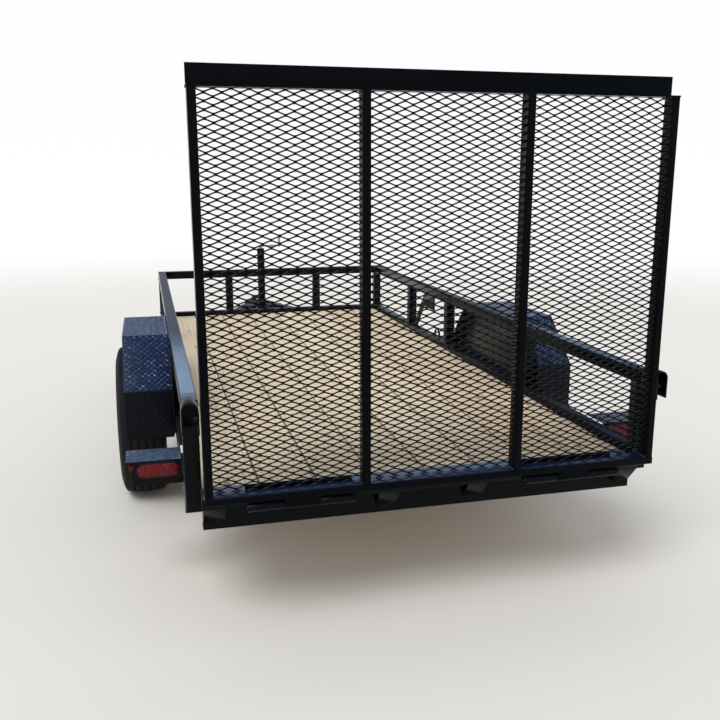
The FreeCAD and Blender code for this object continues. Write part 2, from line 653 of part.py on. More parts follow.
# Running gear: axle, leaf springs, hangers, clamps
def running_gear():
    face = f"({WHEEL} + disc_offset)"
    inboard = f"({face} - hub_depth - moving_gap)"
    end = f"{face} + spindle_reach"
    points = ((f"-({end})", "0"), (f"-({end})", "spindle_radius"), (f"-{inboard}", "spindle_radius"),
              (f"-{inboard}", "axle_radius"), (inboard, "axle_radius"), (inboard, "spindle_radius"),
              (end, "spindle_radius"), (end, "0"))
    node("axle", revolved("Axle", points, ("0", AXLE, "tyre_radius")))
    for side, sign in SIDES:
        centre = (f"{sign} * {SPRING}", AXLE, "tyre_radius - axle_radius")
        node(f"leaf_spring_{side}", solid(f"LeafSpring{side}", leaf_spring(), centre))
    node("spring_hangers", gathered("SpringHangers", spring_hangers()))
    node("axle_clamps", gathered("AxleClamps", [axle_clamp(side, sign) for side, sign in SIDES]))


def leaf_spring():
    """Leaves bent to one centre, the first with an eye at each end, about the axle's underside."""
    half, width, thick = size("spring_half"), size("spring_width"), size("leaf_thick")
    eye_rise = size("eye_height") - size("tyre_radius") + size("axle_radius")
    bend = (half ** 2 + eye_rise ** 2) / (2 * eye_rise)
    centre = Vector(-width / 2, 0, bend)
    full = math.asin(half / bend)
    count = round(size("leaf_count"))
    leaves = []
    for index in range(count):
        reach = full * (1 - index / (count + 1))
        inner = bend + thick * index
        leaves.append(ring_sector(centre, inner, inner + thick, reach).extrude(X_WAY * width))
    eyes, bolts = [], []
    for end in (-1, 1):
        eye = Vector(-width / 2, end * half, eye_rise)
        eyes.append(Part.makeCylinder(size("eye_radius"), width, eye, X_WAY))
        bolts.append(Part.makeCylinder(size("bolt_radius") + size("seat_gap"), width, eye, X_WAY))
    return leaves[0].multiFuse(leaves[1:] + eyes).cut(bolts).removeSplitter()


def ring_sector(centre, inner, outer, reach):
    """A flat sector of a ring below its centre, in the YZ plane."""
    def point(radius, angle):
        return centre + Vector(0, radius * math.sin(angle), -radius * math.cos(angle))

    rim = [Part.Arc(point(outer, -reach), point(outer, 0), point(outer, reach)).toShape(),
           Part.makeLine(point(outer, reach), point(inner, reach)),
           Part.Arc(point(inner, reach), point(inner, 0), point(inner, -reach)).toShape(),
           Part.makeLine(point(inner, -reach), point(outer, -reach))]
    return Part.Face(Part.Wire(rim))


def spring_hangers():
    """Channels under the side rails that hold the spring eyes on bolts."""
    pieces = []
    for side, sign in SIDES:
        middle = f"{sign} * {SPRING}"
        for end, word in ((-1, "Rear"), (1, "Front")):
            centre = f"({AXLE} + {end} * spring_half)"
            name = f"Hanger{side}{word}"
            inside = "(spring_width + 4 * seat_gap)"
            outside = "(spring_width + 4 * seat_gap + 2 * hanger_wall)"
            outer = block(f"{name}Outer", about(middle, outside), about(centre, "hanger_length"),
                          ("eye_height - hanger_drop", "rail_bottom"))
            inner = block(f"{name}Inner", about(middle, inside), about(centre, "(2 * hanger_length)"),
                          ("eye_height - 2 * hanger_drop", "rail_bottom - hanger_wall"))
            start = f"{middle} - spring_width / 2 - bolt_reach"
            bolt = cylinder(f"{name}Bolt", X_WAY, (start, centre, "eye_height"), "bolt_radius",
                            "spring_width + 2 * bolt_reach")
            pieces.append(fused(name, [cut(f"{name}Channel", outer, inner), bolt]))
    return pieces


def axle_clamp(side, sign):
    """Tie plate under the spring with two bent bolts over the axle."""
    middle = f"{sign} * {SPRING}"
    floor = "(tyre_radius - axle_radius - leaf_thick * leaf_count)"
    plate = block(f"TiePlate{side}", about(middle, "tie_plate"), about(AXLE, "tie_plate"),
                  (f"{floor} - seat_gap - tie_thick", f"{floor} - seat_gap"))
    bolts = [bent_bolt(f"BentBolt{side}{word}", f"{middle} + {way} * clamp_place", floor)
             for word, way in (("In", -1), ("Out", 1))]
    return fused(f"AxleClamp{side}", [plate] + bolts)


def bent_bolt(name, middle, floor):
    """A bar bent half round over the axle, with two straight legs down through the tie plate."""
    reach = "(axle_radius + clamp_radius + seat_gap)"
    return bent_bar(name, (middle, AXLE, "tyre_radius"), reach, "clamp_radius",
                    f"{floor} - clamp_tail")


def bent_bar(name, centre, reach, rod, low):
    """A square bar with a half-round bend in the YZ plane, its straight legs going down to a level."""
    x, y, z = centre
    start, width = f"{x} - {rod}", f"2 * {rod}"
    outer = cylinder(f"{name}Outer", X_WAY, (start, y, z), f"{reach} + {rod}", width)
    legs = block(f"{name}Legs", about(x, width), about(y, f"2 * ({reach} + {rod})"), (low, z))
    inner = cylinder(f"{name}Inner", X_WAY, (start, y, z), f"{reach} - {rod}", width)
    gap = block(f"{name}Gap", about(x, width), about(y, f"2 * ({reach} - {rod})"),
                (f"{low} - {rod}", z))
    below = block(f"{name}Below", about(x, width), about(y, f"2 * ({reach} + {rod})"),
                  (f"{low} - 2 * ({reach} + {rod})", low))
    return cut(name, fused(f"{name}Whole", [outer, legs]), fused(f"{name}Hollow", [inner, gap, below]))


# Wheels: tyre, rim and hub on each side, outlines from the tyre's middle outboard
def wheels():
    for side, sign in SIDES:
        centre = (f"{sign} * {WHEEL}", AXLE, "tyre_radius")
        node(f"tyre_{side}", revolved(f"Tyre{side}", tyre_outline(), centre))
        node(f"rim_{side}", rim(side, sign, centre))
        node(f"hub_{side}", revolved(f"Hub{side}", hub_outline(sign), centre))


def tyre_outline():
    """Half-widths and radii from one bead over the tread to the other."""
    half = (("rim_width / 2 - rim_thick - 4 * seat_gap", "rim_radius + seat_gap"),
            ("tyre_width / 2", "rim_radius + bead_height"),
            ("tyre_width / 2 - crown_inset", "tyre_radius"))
    return tuple((f"-({x})", r) for x, r in half) + tuple(reversed(half))


def rim(side, sign, centre):
    """Barrel with a flared lip at each edge and a disc with lug and vent holes."""
    edge, seat, lip = "(rim_width / 2)", "rim_radius", "rim_radius + rim_lip"
    half = ((f"{edge} - rim_thick", seat), (f"{edge} - rim_thick + rim_lip / 2", lip),
            (f"{edge} + rim_lip / 2", lip), (edge, f"{seat} - rim_thick"))
    barrel = tuple((f"-({x})", r) for x, r in half) + tuple(reversed(half))
    outer = revolved(f"RimBarrel{side}", barrel, centre)
    face, crown = "disc_offset", "(disc_offset + disc_crown)"
    inner_slope = "(vent_circle - vent_radius - 2 * rim_thick)"
    outer_slope = "(vent_circle + vent_radius + 2 * rim_thick)"
    disc_points = ((face, "disc_bore"), (face, "hub_radius + rim_thick"), (crown, inner_slope),
                   (crown, outer_slope), (face, f"{seat} - rim_thick"),
                   (f"{face} + rim_thick", f"{seat} - rim_thick"), (f"{crown} + rim_thick", outer_slope),
                   (f"{crown} + rim_thick", inner_slope), (f"{face} + rim_thick", "hub_radius + rim_thick"),
                   (f"{face} + rim_thick", "disc_bore"))
    disc = revolved(f"RimDisc{side}", tuple((f"{sign} * ({x})", r) for x, r in disc_points), centre)
    holes = []
    for kind, circle, radius in (("lug", "lug_circle", "lug_radius"), ("vent", "vent_circle", "vent_radius")):
        count = round(size(f"{kind}_count"))
        for index in range(count):
            turn = 2 * math.pi * index / count
            x = f"{centre[0]} + {sign} * disc_offset - 2 * disc_crown"
            y = f"{centre[1]} + {circle} * {math.sin(turn):.6f}"
            z = f"{centre[2]} + {circle} * {math.cos(turn):.6f}"
            holes.append(cylinder(f"{kind}Hole{side}{index}", X_WAY, (x, y, z), radius, "4 * disc_crown"))
    pierced = cut(f"RimPierced{side}", disc, fused(f"RimHoles{side}", holes))
    return fused(f"Rim{side}", [outer, pierced])


def hub_outline(sign):
    """Barrel on the spindle, flange behind the rim's disc, dust cap through its bore."""
    face, bore = "disc_offset", "spindle_radius + running_gap"
    points = ((f"{face} - hub_depth", bore), (f"{face} - hub_depth", "hub_barrel"),
              (f"{face} - hub_flange", "hub_barrel"), (f"{face} - hub_flange", "hub_radius"),
              (face, "hub_radius"), (face, "hub_barrel"), (f"{face} + spindle_reach", "cap_radius"),
              (f"{face} + cap_reach - rim_thick", "cap_radius"),
              (f"{face} + cap_reach", "cap_radius - 2 * rim_thick"), (f"{face} + cap_reach", "0"),
              (f"{face} + spindle_reach + moving_gap", "0"), (f"{face} + spindle_reach + moving_gap", bore))
    return tuple((f"{sign} * ({x})", r) for x, r in points)


# Fenders with their inner skirts
def fenders():
    for side, sign in SIDES:
        node(f"fender_{side}", fender(side, sign))
        node(f"fender_skirt_{side}", skirt(side, sign))


def fender(side, sign):
    """A bent sheet over the tyre with a lip along its outer edge."""
    inner = f"({HALF} + sheet_thick)"
    outer = f"({HALF} + sheet_thick + fender_width)"
    shell_x = span(sign, inner, outer)[0]
    lip_x = span(sign, f"{outer} - sheet_thick", outer)[0]
    shell = padded(f"FenderShell{side}", "YZ_Plane", bent_strip("sheet_thick"), "fender_width",
                   (shell_x, AXLE, "0"))
    lip = padded(f"FenderLip{side}", "YZ_Plane", bent_strip("fender_lip"), "sheet_thick", (lip_x, AXLE, "0"))
    return fused(f"Fender{side}", [shell, lip])


def bent_strip(depth):
    """Outline of a strip with a flat top, two slopes and two upright ends, of one thickness all along.

    Its inner corners come from the half angle of each bend.
    """
    flat, end, bend, top = "(fender_flat / 2)", "(fender_length / 2)", "fender_bend", "fender_top"
    run, fall = f"({end} - {flat})", f"({top} - {bend})"
    slope = f"sqrt({run} * {run} + {fall} * {fall})"
    upper = (f"({flat} - {depth} * ({slope} - {run}) / {fall})", f"{top} - {depth}")
    lower = (f"({end} - {depth})", f"{bend} - {depth} * ({slope} - {fall}) / {run}")
    foot = (lower[0], "fender_low")
    front = ((flat, top), (end, bend), (end, "fender_low"), foot, lower, upper)
    return tuple((f"-{y}", z) for y, z in reversed(front[:3])) + front + tuple(
        (f"-{y}", z) for y, z in reversed(front[3:]))


def skirt(side, sign):
    """Flat plate outside the rails with rounded ends, closing the fender's inner side."""
    low, high = span(sign, HALF, f"{HALF} + sheet_thick")
    disc = cylinder(f"SkirtDisc{side}", X_WAY, (low, AXLE, "skirt_centre"), "skirt_radius",
                    "sheet_thick")
    frame = block(f"SkirtFrame{side}", (low, high), (f"{AXLE} - skirt_radius", f"{AXLE} + skirt_radius"),
                  ("skirt_low", "fender_top"))
    return common(f"Skirt{side}", disc, frame)


# Lamps and the folded boxes that carry them
def lamps():
    back = f"({REAR} + lamp_box_place)"
    low = "(lamp_box_top - lamp_box_height)"
    middle = "(lamp_box_top - lamp_drop)"
    centre_y = f"({back} + lamp_box_depth / 2)"
    lamp_span = (f"({back} - lamp_proud)", f"({back} - lamp_proud + lamp_depth)")
    hole_span = (f"{back} - lamp_depth", f"{back} + lamp_depth")
    markers = []
    for side, sign in SIDES:
        far = f"({HALF} + lamp_box_width)"
        whole = block(f"LampBoxOuter{side}", span(sign, HALF, far), (back, f"{back} + lamp_box_depth"),
                      (low, "lamp_box_top"))
        hollow = block(f"LampBoxInner{side}", span(sign, f"{HALF} - sheet_thick", f"{far} - sheet_thick"),
                       (f"{back} + sheet_thick", f"{back} + lamp_box_depth + sheet_thick"),
                       (f"{low} - sheet_thick", "lamp_box_top - sheet_thick"))
        hood = block(f"LampHood{side}", span(sign, HALF, f"{far} + hood_reach"),
                     (back, f"{back} + lamp_box_depth"), ("lamp_box_top - sheet_thick", "lamp_box_top"))
        shell = fused(f"LampBoxShell{side}", [cut(f"LampBoxFold{side}", whole, hollow), hood])
        centre = f"{sign} * ({HALF} + lamp_inset)"
        opening = oval(f"LampHole{side}", centre, hole_span, middle, "seat_gap")
        node(f"lamp_box_{side}", cut(f"LampBox{side}", shell, opening))
        node(f"tail_lamp_{side}", oval(f"TailLamp{side}", centre, lamp_span, middle, "0"))
        markers.append(block(f"Marker{side}", span(sign, far, f"{far} + marker_depth"),
                             about(centre_y, "marker_length"), about(middle, "marker_height")))
    node("side_markers", gathered("SideMarkers", markers))


def oval(name, centre, depth, middle, gap):
    """A lamp's outline with round ends, widened all round by a gap, its depth along Y."""
    radius = f"(lamp_height / 2 + {gap})"
    offset = "(lamp_length - lamp_height) / 2"
    pieces = [block(f"{name}Bar", (f"{centre} - {offset}", f"{centre} + {offset}"), depth,
                    (f"{middle} - {radius}", f"{middle} + {radius}"))]
    for word, way in (("Low", -1), ("High", 1)):
        pieces.append(cylinder(f"{name}{word}", Y_WAY, (f"{centre} + {way} * {offset}", depth[0], middle),
                               radius, f"({depth[1]}) - ({depth[0]})"))
    return fused(name, pieces)


# Small steelwork on the rails: tie-down loops and the spare wheel's carrier
def rail_fittings():
    loops = [tie_down(f"TieDown{side}", f"{sign} * {SPRING}") for side, sign in SIDES]
    node("tie_downs", gathered("TieDowns", loops))
    end, foot, head = SPARE_END, RAIL_TOP, TOP_LOW
    points = ((f"{end} - spare_arm", foot), (end, foot), (f"{end} - spare_reach + spare_arm", head),
              (f"{end} - spare_reach", head))
    x = f"({SPRING} - spare_thick / 2)"
    arm = padded("SpareArm", "YZ_Plane", points, "spare_thick", (x, "0", "0"))
    plate = block("SparePlate", (x, f"{x} + spare_thick"),
                  (SPARE_REAR, f"{SPARE_REAR} + spare_plate"),
                  (f"{head} - spare_drop", head))
    node("spare_bracket", fused("SpareBracket", [arm, plate]))


def tie_down(name, middle):
    """A bar bent half round on two straight legs, standing on the side rail."""
    centre = (middle, f"({SPARE_REAR} - ring_setback)", f"({RAIL_TOP} + ring_rise)")
    return bent_bar(name, centre, "ring_radius", "ring_rod", RAIL_TOP)


# Tongue and coupler, outlines measured ahead of the front rail's face
def tongue():
    low = "rail_bottom - tongue_depth"
    wall = f"tongue_wall * {BAR} / tongue_width"
    for side, sign in SIDES:
        outer = padded(f"TongueOuter{side}", "XY_Plane", bar_outline(sign, "0", "0"), "tongue_depth",
                       ("0", FRONT, low))
        inner = padded(f"TongueBore{side}", "XY_Plane", bar_outline(sign, wall, "tongue_wall"),
                       "tongue_depth - 2 * tongue_wall", ("0", FRONT, f"{low} + tongue_wall"))
        node(f"tongue_bar_{side}", cut(f"TongueBar{side}", outer, inner))
    coupler()
    jack()


def bar_outline(sign, inset, end_inset):
    """A tongue bar seen from above, drawn in by one distance at its sides and one at its ends."""
    back, front = f"(-tongue_root + {end_inset})", f"(tongue_apex - {end_inset})"
    corners = ((f"{tongue_face(back)} + {inset}", back), (f"{tongue_face(back)} + {BAR} - {inset}", back),
               (f"{tongue_face(front)} + {BAR} - {inset}", front), (f"{tongue_face(front)} + {inset}", front))
    return tuple((f"{sign} * ({x})", y) for x, y in corners)


def coupler_wedge(name, front, gap, low, height):
    """A wedge round both tongue bars, at one gap outside their outer faces."""
    back = "(tongue_apex + coupler_reach - coupler_length)"
    wide = f"({tongue_face(back)} + {BAR} + {gap})"
    narrow = f"({tongue_face(front)} + {BAR} + {gap})"
    points = ((f"-{wide}", back), (wide, back), (narrow, front), (f"-{narrow}", front))
    return padded(name, "XY_Plane", points, height, ("0", FRONT, low))


def coupler():
    """Pressed wedge over the bars' front ends with a round nose and a ball socket."""
    nose = "(tongue_apex + coupler_reach - nose_radius)"
    low = "(rail_bottom - coupler_height)"
    ball_y, ball_z = f"{FRONT} + {nose}", "(rail_bottom + ball_rise)"
    reach = "(ball_radius + ball_gap)"
    wedge = coupler_wedge("CouplerWedge", nose, "seat_gap + coupler_wall", low,
                          "coupler_height + coupler_wall")
    round_nose = cylinder("CouplerNose", Z_WAY, ("0", ball_y, low), "nose_radius",
                          "coupler_height + nose_rise")
    hollow = coupler_wedge("CouplerHollow", "tongue_apex + seat_gap", "seat_gap", f"{low} - coupler_wall",
                           "coupler_height + coupler_wall + seat_gap")
    ball = doc.addObject("Part::Sphere", "BallSocket")
    bind(ball, "Radius", reach)
    place(ball, ("0", ball_y, ball_z))
    mouth = cylinder("BallMouth", Z_WAY, ("0", ball_y, f"{low} - coupler_wall"), reach,
                     "coupler_height + coupler_wall + ball_rise")
    socket = fused("CouplerSocket", [hollow, ball, mouth])
    node("coupler", cut("Coupler", fused("CouplerWhole", [wedge, round_nose]), socket))
    top = "(rail_bottom + coupler_wall)"
    front = f"({ball_y} - nose_radius - seat_gap)"
    lever = block("LeverArm", about("0", "lever_width"), (f"{front} - lever_length", front),
                  (f"{top} + lever_rise", f"{top} + lever_rise + lever_thick"))
    foot = block("LeverFoot", about("0", "lever_width / 2"), (f"{front} - lever_length / 3", front),
                 (f"{top} + seat_gap", f"{top} + lever_rise"))
    node("coupler_latch", fused("CouplerLatch", [lever, foot]))


def jack():
    """Screw jack through a plate on the tongue: closed tube, sliding leg with its foot, crank."""
    top = "(rail_bottom + plate_thick)"
    half = f"({tongue_face('tongue_apex - jack_setback')} + {BAR} / 2)"
    plate = block("JackPlate", (f"-{half}", half), about(JACK, "plate_length"), ("rail_bottom", top))
    hole = cylinder("JackHole", Z_WAY, ("0", JACK, "rail_bottom - plate_thick"), "jack_radius + seat_gap",
                    "3 * plate_thick")
    node("jack_plate", cut("JackPlateCut", plate, hole))
    outer = cylinder("JackOuter", Z_WAY, ("0", JACK, "jack_low"), "jack_radius", "jack_top - jack_low")
    flange = cylinder("JackFlange", Z_WAY, ("0", JACK, f"{top} + seat_gap"), "jack_radius + collar_width",
                      "collar_width")
    bore = cylinder("JackBore", Z_WAY, ("0", JACK, "jack_low - jack_cap"), "jack_radius - jack_wall",
                    "jack_top - jack_low")
    node("jack_tube", cut("JackTube", fused("JackBody", [outer, flange]), bore))
    leg = cylinder("JackShaft", Z_WAY, ("0", JACK, "0"), "jack_radius - jack_wall - leg_gap", "leg_length")
    foot = cylinder("JackFoot", Z_WAY, ("0", JACK, "0"), "foot_radius", "foot_thick")
    node("jack_leg", fused("JackLeg", [leg, foot]))
    height = "jack_top + crank_rise"
    hub = cylinder("CrankHub", Z_WAY, ("0", JACK, "jack_top + seat_gap"), "2 * crank_radius",
                   "crank_rise + crank_radius")
    arm = cylinder("CrankArm", X_WAY, ("0", JACK, height), "crank_radius", "crank_reach")
    grip = cylinder("CrankGrip", Z_WAY, ("crank_reach", JACK, f"{height} - crank_radius"),
                    "1.4 * crank_radius", "grip_length")
    node("jack_crank", fused("JackCrank", [hub, arm, grip]))


def check_and_write():
    """Stops on any failed piece, then writes each sub-part to its own file."""
    doc.recompute()
    failed = [piece.Name for piece in doc.Objects if {"Invalid", "Error"} & set(piece.State)]
    if failed:
        raise RuntimeError("failed pieces: " + ", ".join(failed))
    os.makedirs("parts", exist_ok=True)
    for piece in NODES:
        if piece.Shape.isNull() or not piece.Shape.isValid():
            raise RuntimeError(f"{piece.Label} has no valid shape")
        piece.Shape.exportStep(f"parts/{piece.Label}.step")
        box = piece.Shape.BoundBox
        print(f"{piece.Label}: {len(piece.Shape.Solids)} solids, X {box.XMin:.1f} {box.XMax:.1f}, "
              f"Y {box.YMin:.1f} {box.YMax:.1f}, Z {box.ZMin:.1f} {box.ZMax:.1f}")


deck_frame()
railing()
rear_end()
gate()
latches()
running_gear()
wheels()
fenders()
lamps()
rail_fittings()
tongue()
check_and_write()
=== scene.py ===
"""Utility trailer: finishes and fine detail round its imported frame, laid out as an add-on and run as a script."""

import json
import math

import bmesh
import bpy
import numpy as np
from bpy.props import FloatProperty, FloatVectorProperty
from mathutils import Matrix, Vector

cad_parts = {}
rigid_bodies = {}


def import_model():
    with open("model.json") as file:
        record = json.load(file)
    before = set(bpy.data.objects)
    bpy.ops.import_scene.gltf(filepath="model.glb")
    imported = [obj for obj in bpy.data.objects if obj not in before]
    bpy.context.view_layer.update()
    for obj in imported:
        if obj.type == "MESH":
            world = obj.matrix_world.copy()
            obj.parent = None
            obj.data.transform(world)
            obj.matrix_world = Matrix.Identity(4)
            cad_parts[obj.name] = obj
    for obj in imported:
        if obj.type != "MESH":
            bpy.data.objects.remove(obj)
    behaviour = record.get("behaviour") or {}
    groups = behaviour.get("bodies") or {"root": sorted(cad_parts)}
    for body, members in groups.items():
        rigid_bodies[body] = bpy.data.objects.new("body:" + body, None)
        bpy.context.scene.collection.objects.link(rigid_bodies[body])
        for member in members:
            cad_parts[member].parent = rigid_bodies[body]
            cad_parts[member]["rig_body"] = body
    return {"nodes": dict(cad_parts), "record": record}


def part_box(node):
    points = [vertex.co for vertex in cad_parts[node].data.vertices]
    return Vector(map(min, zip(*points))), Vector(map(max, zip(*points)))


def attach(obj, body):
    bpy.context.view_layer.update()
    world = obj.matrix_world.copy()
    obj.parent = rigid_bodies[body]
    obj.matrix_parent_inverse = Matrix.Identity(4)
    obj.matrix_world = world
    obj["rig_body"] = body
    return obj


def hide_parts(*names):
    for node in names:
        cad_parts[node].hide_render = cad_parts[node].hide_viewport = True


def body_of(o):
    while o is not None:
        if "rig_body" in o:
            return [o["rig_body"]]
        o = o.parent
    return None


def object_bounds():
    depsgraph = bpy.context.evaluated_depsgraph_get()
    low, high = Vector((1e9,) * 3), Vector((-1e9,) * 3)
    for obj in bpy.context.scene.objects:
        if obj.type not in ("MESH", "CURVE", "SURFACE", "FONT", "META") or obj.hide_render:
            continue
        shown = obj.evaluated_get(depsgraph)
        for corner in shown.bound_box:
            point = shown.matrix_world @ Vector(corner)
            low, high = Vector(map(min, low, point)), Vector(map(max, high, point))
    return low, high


bl_info = {
    "name": "Utility trailer",
    "version": (1, 0, 0),
    "blender": (4, 5, 0),
    "location": "View3D > Sidebar > Trailer",
    "description": "Builds the visible surfaces and finishes of a single-axle utility trailer",
    "category": "Object",
}

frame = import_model()
NODES = frame["nodes"]
FRAME_BOX = [[float(value) for value in corner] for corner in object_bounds()]

MM = 0.001
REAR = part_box("gate_frame")[0][1]  # the gate's rear face, from which lengths are measured
SIDES = (("left", -1), ("right", 1))
RNG_SEED = 20
TUBE = 0.0508  # square tube of rails and posts
SHEEN_RAMP_END = 1.35  # Y just ahead of the front rail, where the ramp of painted sky reflection and dust ends
POST_PLACES = (1041.0, 2070.0, 2765.0, 3632.6)  # middles of the side posts, mm ahead of the gate's rear face
FRONT_POSTS = (-0.320, 0.320)  # X of the posts under the front rail
DECK_HALF, BOARDS = 0.762, 8  # half the deck's width between the side rails, and the number of boards
BOARD_PITCH = 2 * DECK_HALF / BOARDS
BOARD_GAP = 0.003
GATE_FACE, GATE_DEPTH = 0.0254, 0.0508  # the gate's flat tube, seen from behind and from the side
GATE_SILL, GATE_HEAD = 0.5034, 1.689  # heights of the sill's top and of the top bar's underside
GATE_SHARES = (-1.0, -0.343, 0.343, 1.0)  # places of its uprights, as shares of the outermost one's
FENDER_FLAT, FENDER_BEND = 0.2475, 0.585  # half the flat top's length, and the height where the ends turn down
NUT_CIRCLE = 0.05715  # radius of the wheel nuts' circle
TIE_ROD = 0.012  # diameter of the tie-down rods


def ahead(millimetres):
    """Y of a place measured forward from the gate's rear face."""
    return REAR + millimetres * MM


def linear(hex_code):
    """An sRGB hex colour as linear RGBA."""
    channels = np.array([int(hex_code[i:i + 2], 16) for i in (1, 3, 5)]) / 255
    values = np.where(channels <= 0.04045, channels / 12.92, ((channels + 0.055) / 1.055) ** 2.4)
    return (*values.tolist(), 1.0)


def in_scene(name, data):
    """A new object of this data, linked to the scene."""
    thing = bpy.data.objects.new(name, data)
    bpy.context.scene.collection.objects.link(thing)
    return thing


# Surfaces as whole arrays

def angles(count):
    """Equal steps of one full turn."""
    return np.linspace(0, 2 * math.pi, count, endpoint=False)


def lattice(rows, columns, wrap_rows=False, wrap_columns=False):
    """Quads between neighbouring points of a grid that is numbered row by row."""
    r = np.arange(rows if wrap_rows else rows - 1)[:, None]
    c = np.arange(columns if wrap_columns else columns - 1)[None, :]
    r2, c2 = (r + 1) % rows, (c + 1) % columns
    quads = np.stack([r * columns + c, r * columns + c2, r2 * columns + c2, r2 * columns + c], axis=-1)
    return quads.reshape(-1, 4)


def enclosed(points, faces):
    """Volume inside closed faces: a sixth of the sum of the triple products of their fan triangles."""
    total = 0.0
    for group in faces:
        for corner in range(1, group.shape[1] - 1):
            a, b, c = points[group[:, 0]], points[group[:, corner]], points[group[:, corner + 1]]
            total += np.einsum("ij,ij", a, np.cross(b, c))
    return total / 6


def swept(sections, ring=False):
    """Closed skins over many runs at once: sections is runs x stations x points round x 3.

    Each run joins its sections in turn; its ends close with a fan to the section's mean point,
    unless ring says that the last section joins the first.
    """
    runs, stations, around = sections.shape[:3]
    points = sections.reshape(-1, 3)
    centre = points.mean(axis=0)
    base = np.arange(runs)[:, None] * stations * around
    faces = [(lattice(stations, around, wrap_rows=ring, wrap_columns=True) + base[..., None]).reshape(-1, 4)]
    if not ring:
        means = sections[:, (0, -1)].mean(axis=2).reshape(-1, 3)
        first = len(points) + np.arange(runs)[:, None] * 2
        step = np.arange(around)
        last = base + (stations - 1) * around
        turn = (step + 1) % around
        start_fan = np.stack([first + 0 * step, base + turn, base + step], axis=-1)
        end_fan = np.stack([first + 1 + 0 * step, last + step, last + turn], axis=-1)
        points = np.concatenate([points, means])
        faces.append(np.concatenate([start_fan.reshape(-1, 3), end_fan.reshape(-1, 3)]))
    if enclosed(points - centre, faces) < 0:
        faces = [group[:, ::-1] for group in faces]
    return points, faces


def copies(skin, places):
    """The skin once at every place: places is n x 4 x 4 matrices that turn and move it."""
    points, faces = skin
    whole = np.concatenate([points, np.ones((len(points), 1))], axis=1)
    moved = np.einsum("nij,pj->npi", places, whole)[..., :3].reshape(-1, 3)
    starts = (np.arange(len(places)) * len(points))[:, None, None]
    return moved, [(group[None] + starts).reshape(-1, group.shape[1]) for group in faces]


def placed(origins, x_ways, y_ways, z_ways):
    """Matrices whose columns are three directions and an origin, n of each."""
    matrices = np.zeros((len(origins), 4, 4))
    matrices[:, :3] = np.stack([x_ways, y_ways, z_ways, origins], axis=-1)
    matrices[:, 3, 3] = 1
    return matrices


def piece(name, skin, body, key, smooth=True, replaces=()):
    """Puts a skin into a mesh, gives it a finish and makes it ride on its body."""
    points, faces = skin
    mesh = bpy.data.meshes.new(name)
    sizes = np.concatenate([np.full(len(group), group.shape[1]) for group in faces])
    corners = np.concatenate([group.ravel() for group in faces])
    mesh.vertices.add(len(points))
    mesh.vertices.foreach_set("co", np.ascontiguousarray(points, dtype=np.float32).ravel())
    mesh.loops.add(len(corners))
    mesh.loops.foreach_set("vertex_index", corners.astype(np.int32))
    mesh.polygons.add(len(sizes))
    mesh.polygons.foreach_set("loop_start", (np.cumsum(sizes) - sizes).astype(np.int32))
    mesh.update(calc_edges=True)
    if mesh.validate():
        raise RuntimeError(f"{name} had broken faces")
    if smooth:
        mesh.shade_smooth()
        mesh.set_sharp_from_angle(angle=math.radians(40))
    mesh.materials.append(finish(key))
    thing = in_scene(name, mesh)
    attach(thing, body)
    if replaces:
        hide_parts(*replaces)
    return thing


# Materials: one function adds a node, the next few name its common uses, and each finish is its own function

def emptied(owner):
    """The node tree of a material or a world, with nothing in it."""
    owner.use_nodes = True
    owner.node_tree.nodes.clear()
    return owner.node_tree


def add(tree, kind, inputs=None, **settings):
    """Adds one node, sets its properties and inputs, and links each input that is given as a socket."""
    made = tree.nodes.new(kind)
    for name, value in settings.items():
        setattr(made, name, value)
    feed(tree, made, inputs or {})
    return made


def feed(tree, node, values):
    """Sets a node's inputs: a socket is linked, and anything else is set on the input's own socket."""
    for name, value in values.items():
        if isinstance(value, bpy.types.NodeSocket):
            tree.links.new(value, node.inputs[name])
        else:
            node.inputs[name].default_value = value


def maths(tree, operation, first, second=0.0):
    return add(tree, "ShaderNodeMath", {0: first, 1: second}, operation=operation).outputs["Value"]


def vector_maths(tree, operation, first, second):
    return add(tree, "ShaderNodeVectorMath", {0: first, 1: second}, operation=operation).outputs["Vector"]


def scaled(tree, value, start, end, low=0.0, high=1.0):
    """The value carried from start and end to low and high, and held at both ends."""
    return add(tree, "ShaderNodeMapRange", {"Value": value, "From Min": start, "From Max": end, "To Min": low,
                                            "To Max": high}).outputs["Result"]


def noise(tree, place, scale, detail, roughness=0.5):
    return add(tree, "ShaderNodeTexNoise", {"Vector": place, "Scale": scale, "Detail": detail,
                                            "Roughness": roughness}).outputs["Fac"]


def blend(tree, factor, first, second, blend_type="MIX"):
    """Two colours mixed, each given as a hex code or as a socket."""
    first, second = (linear(colour) if isinstance(colour, str) else colour for colour in (first, second))
    return add(tree, "ShaderNodeMix", {"Factor": factor, "A": first, "B": second}, data_type="RGBA",
               blend_type=blend_type).outputs["Result"]


def bumped(tree, height, strength, distance):
    return add(tree, "ShaderNodeBump", {"Height": height, "Strength": strength,
                                        "Distance": distance}).outputs["Normal"]


def ramp(tree, factor, *stops):
    """A colour ramp through (position, hex colour) stops."""
    made = add(tree, "ShaderNodeValToRGB", {"Fac": factor})
    elements = made.color_ramp.elements
    while len(elements) < len(stops):
        elements.new(0.5)
    for element, (position, colour) in zip(elements, stops):
        element.position = position
        element.color = linear(colour)
    return made.outputs["Color"]


def facing(tree, axis, start, end, most=1.0):
    """How far a surface faces along an axis: 0 where its normal's share is start, most where it is end."""
    normal = add(tree, "ShaderNodeNewGeometry").outputs["Normal"]
    return scaled(tree, add(tree, "ShaderNodeSeparateXYZ", {"Vector": normal}).outputs[axis], start, end, 0.0, most)
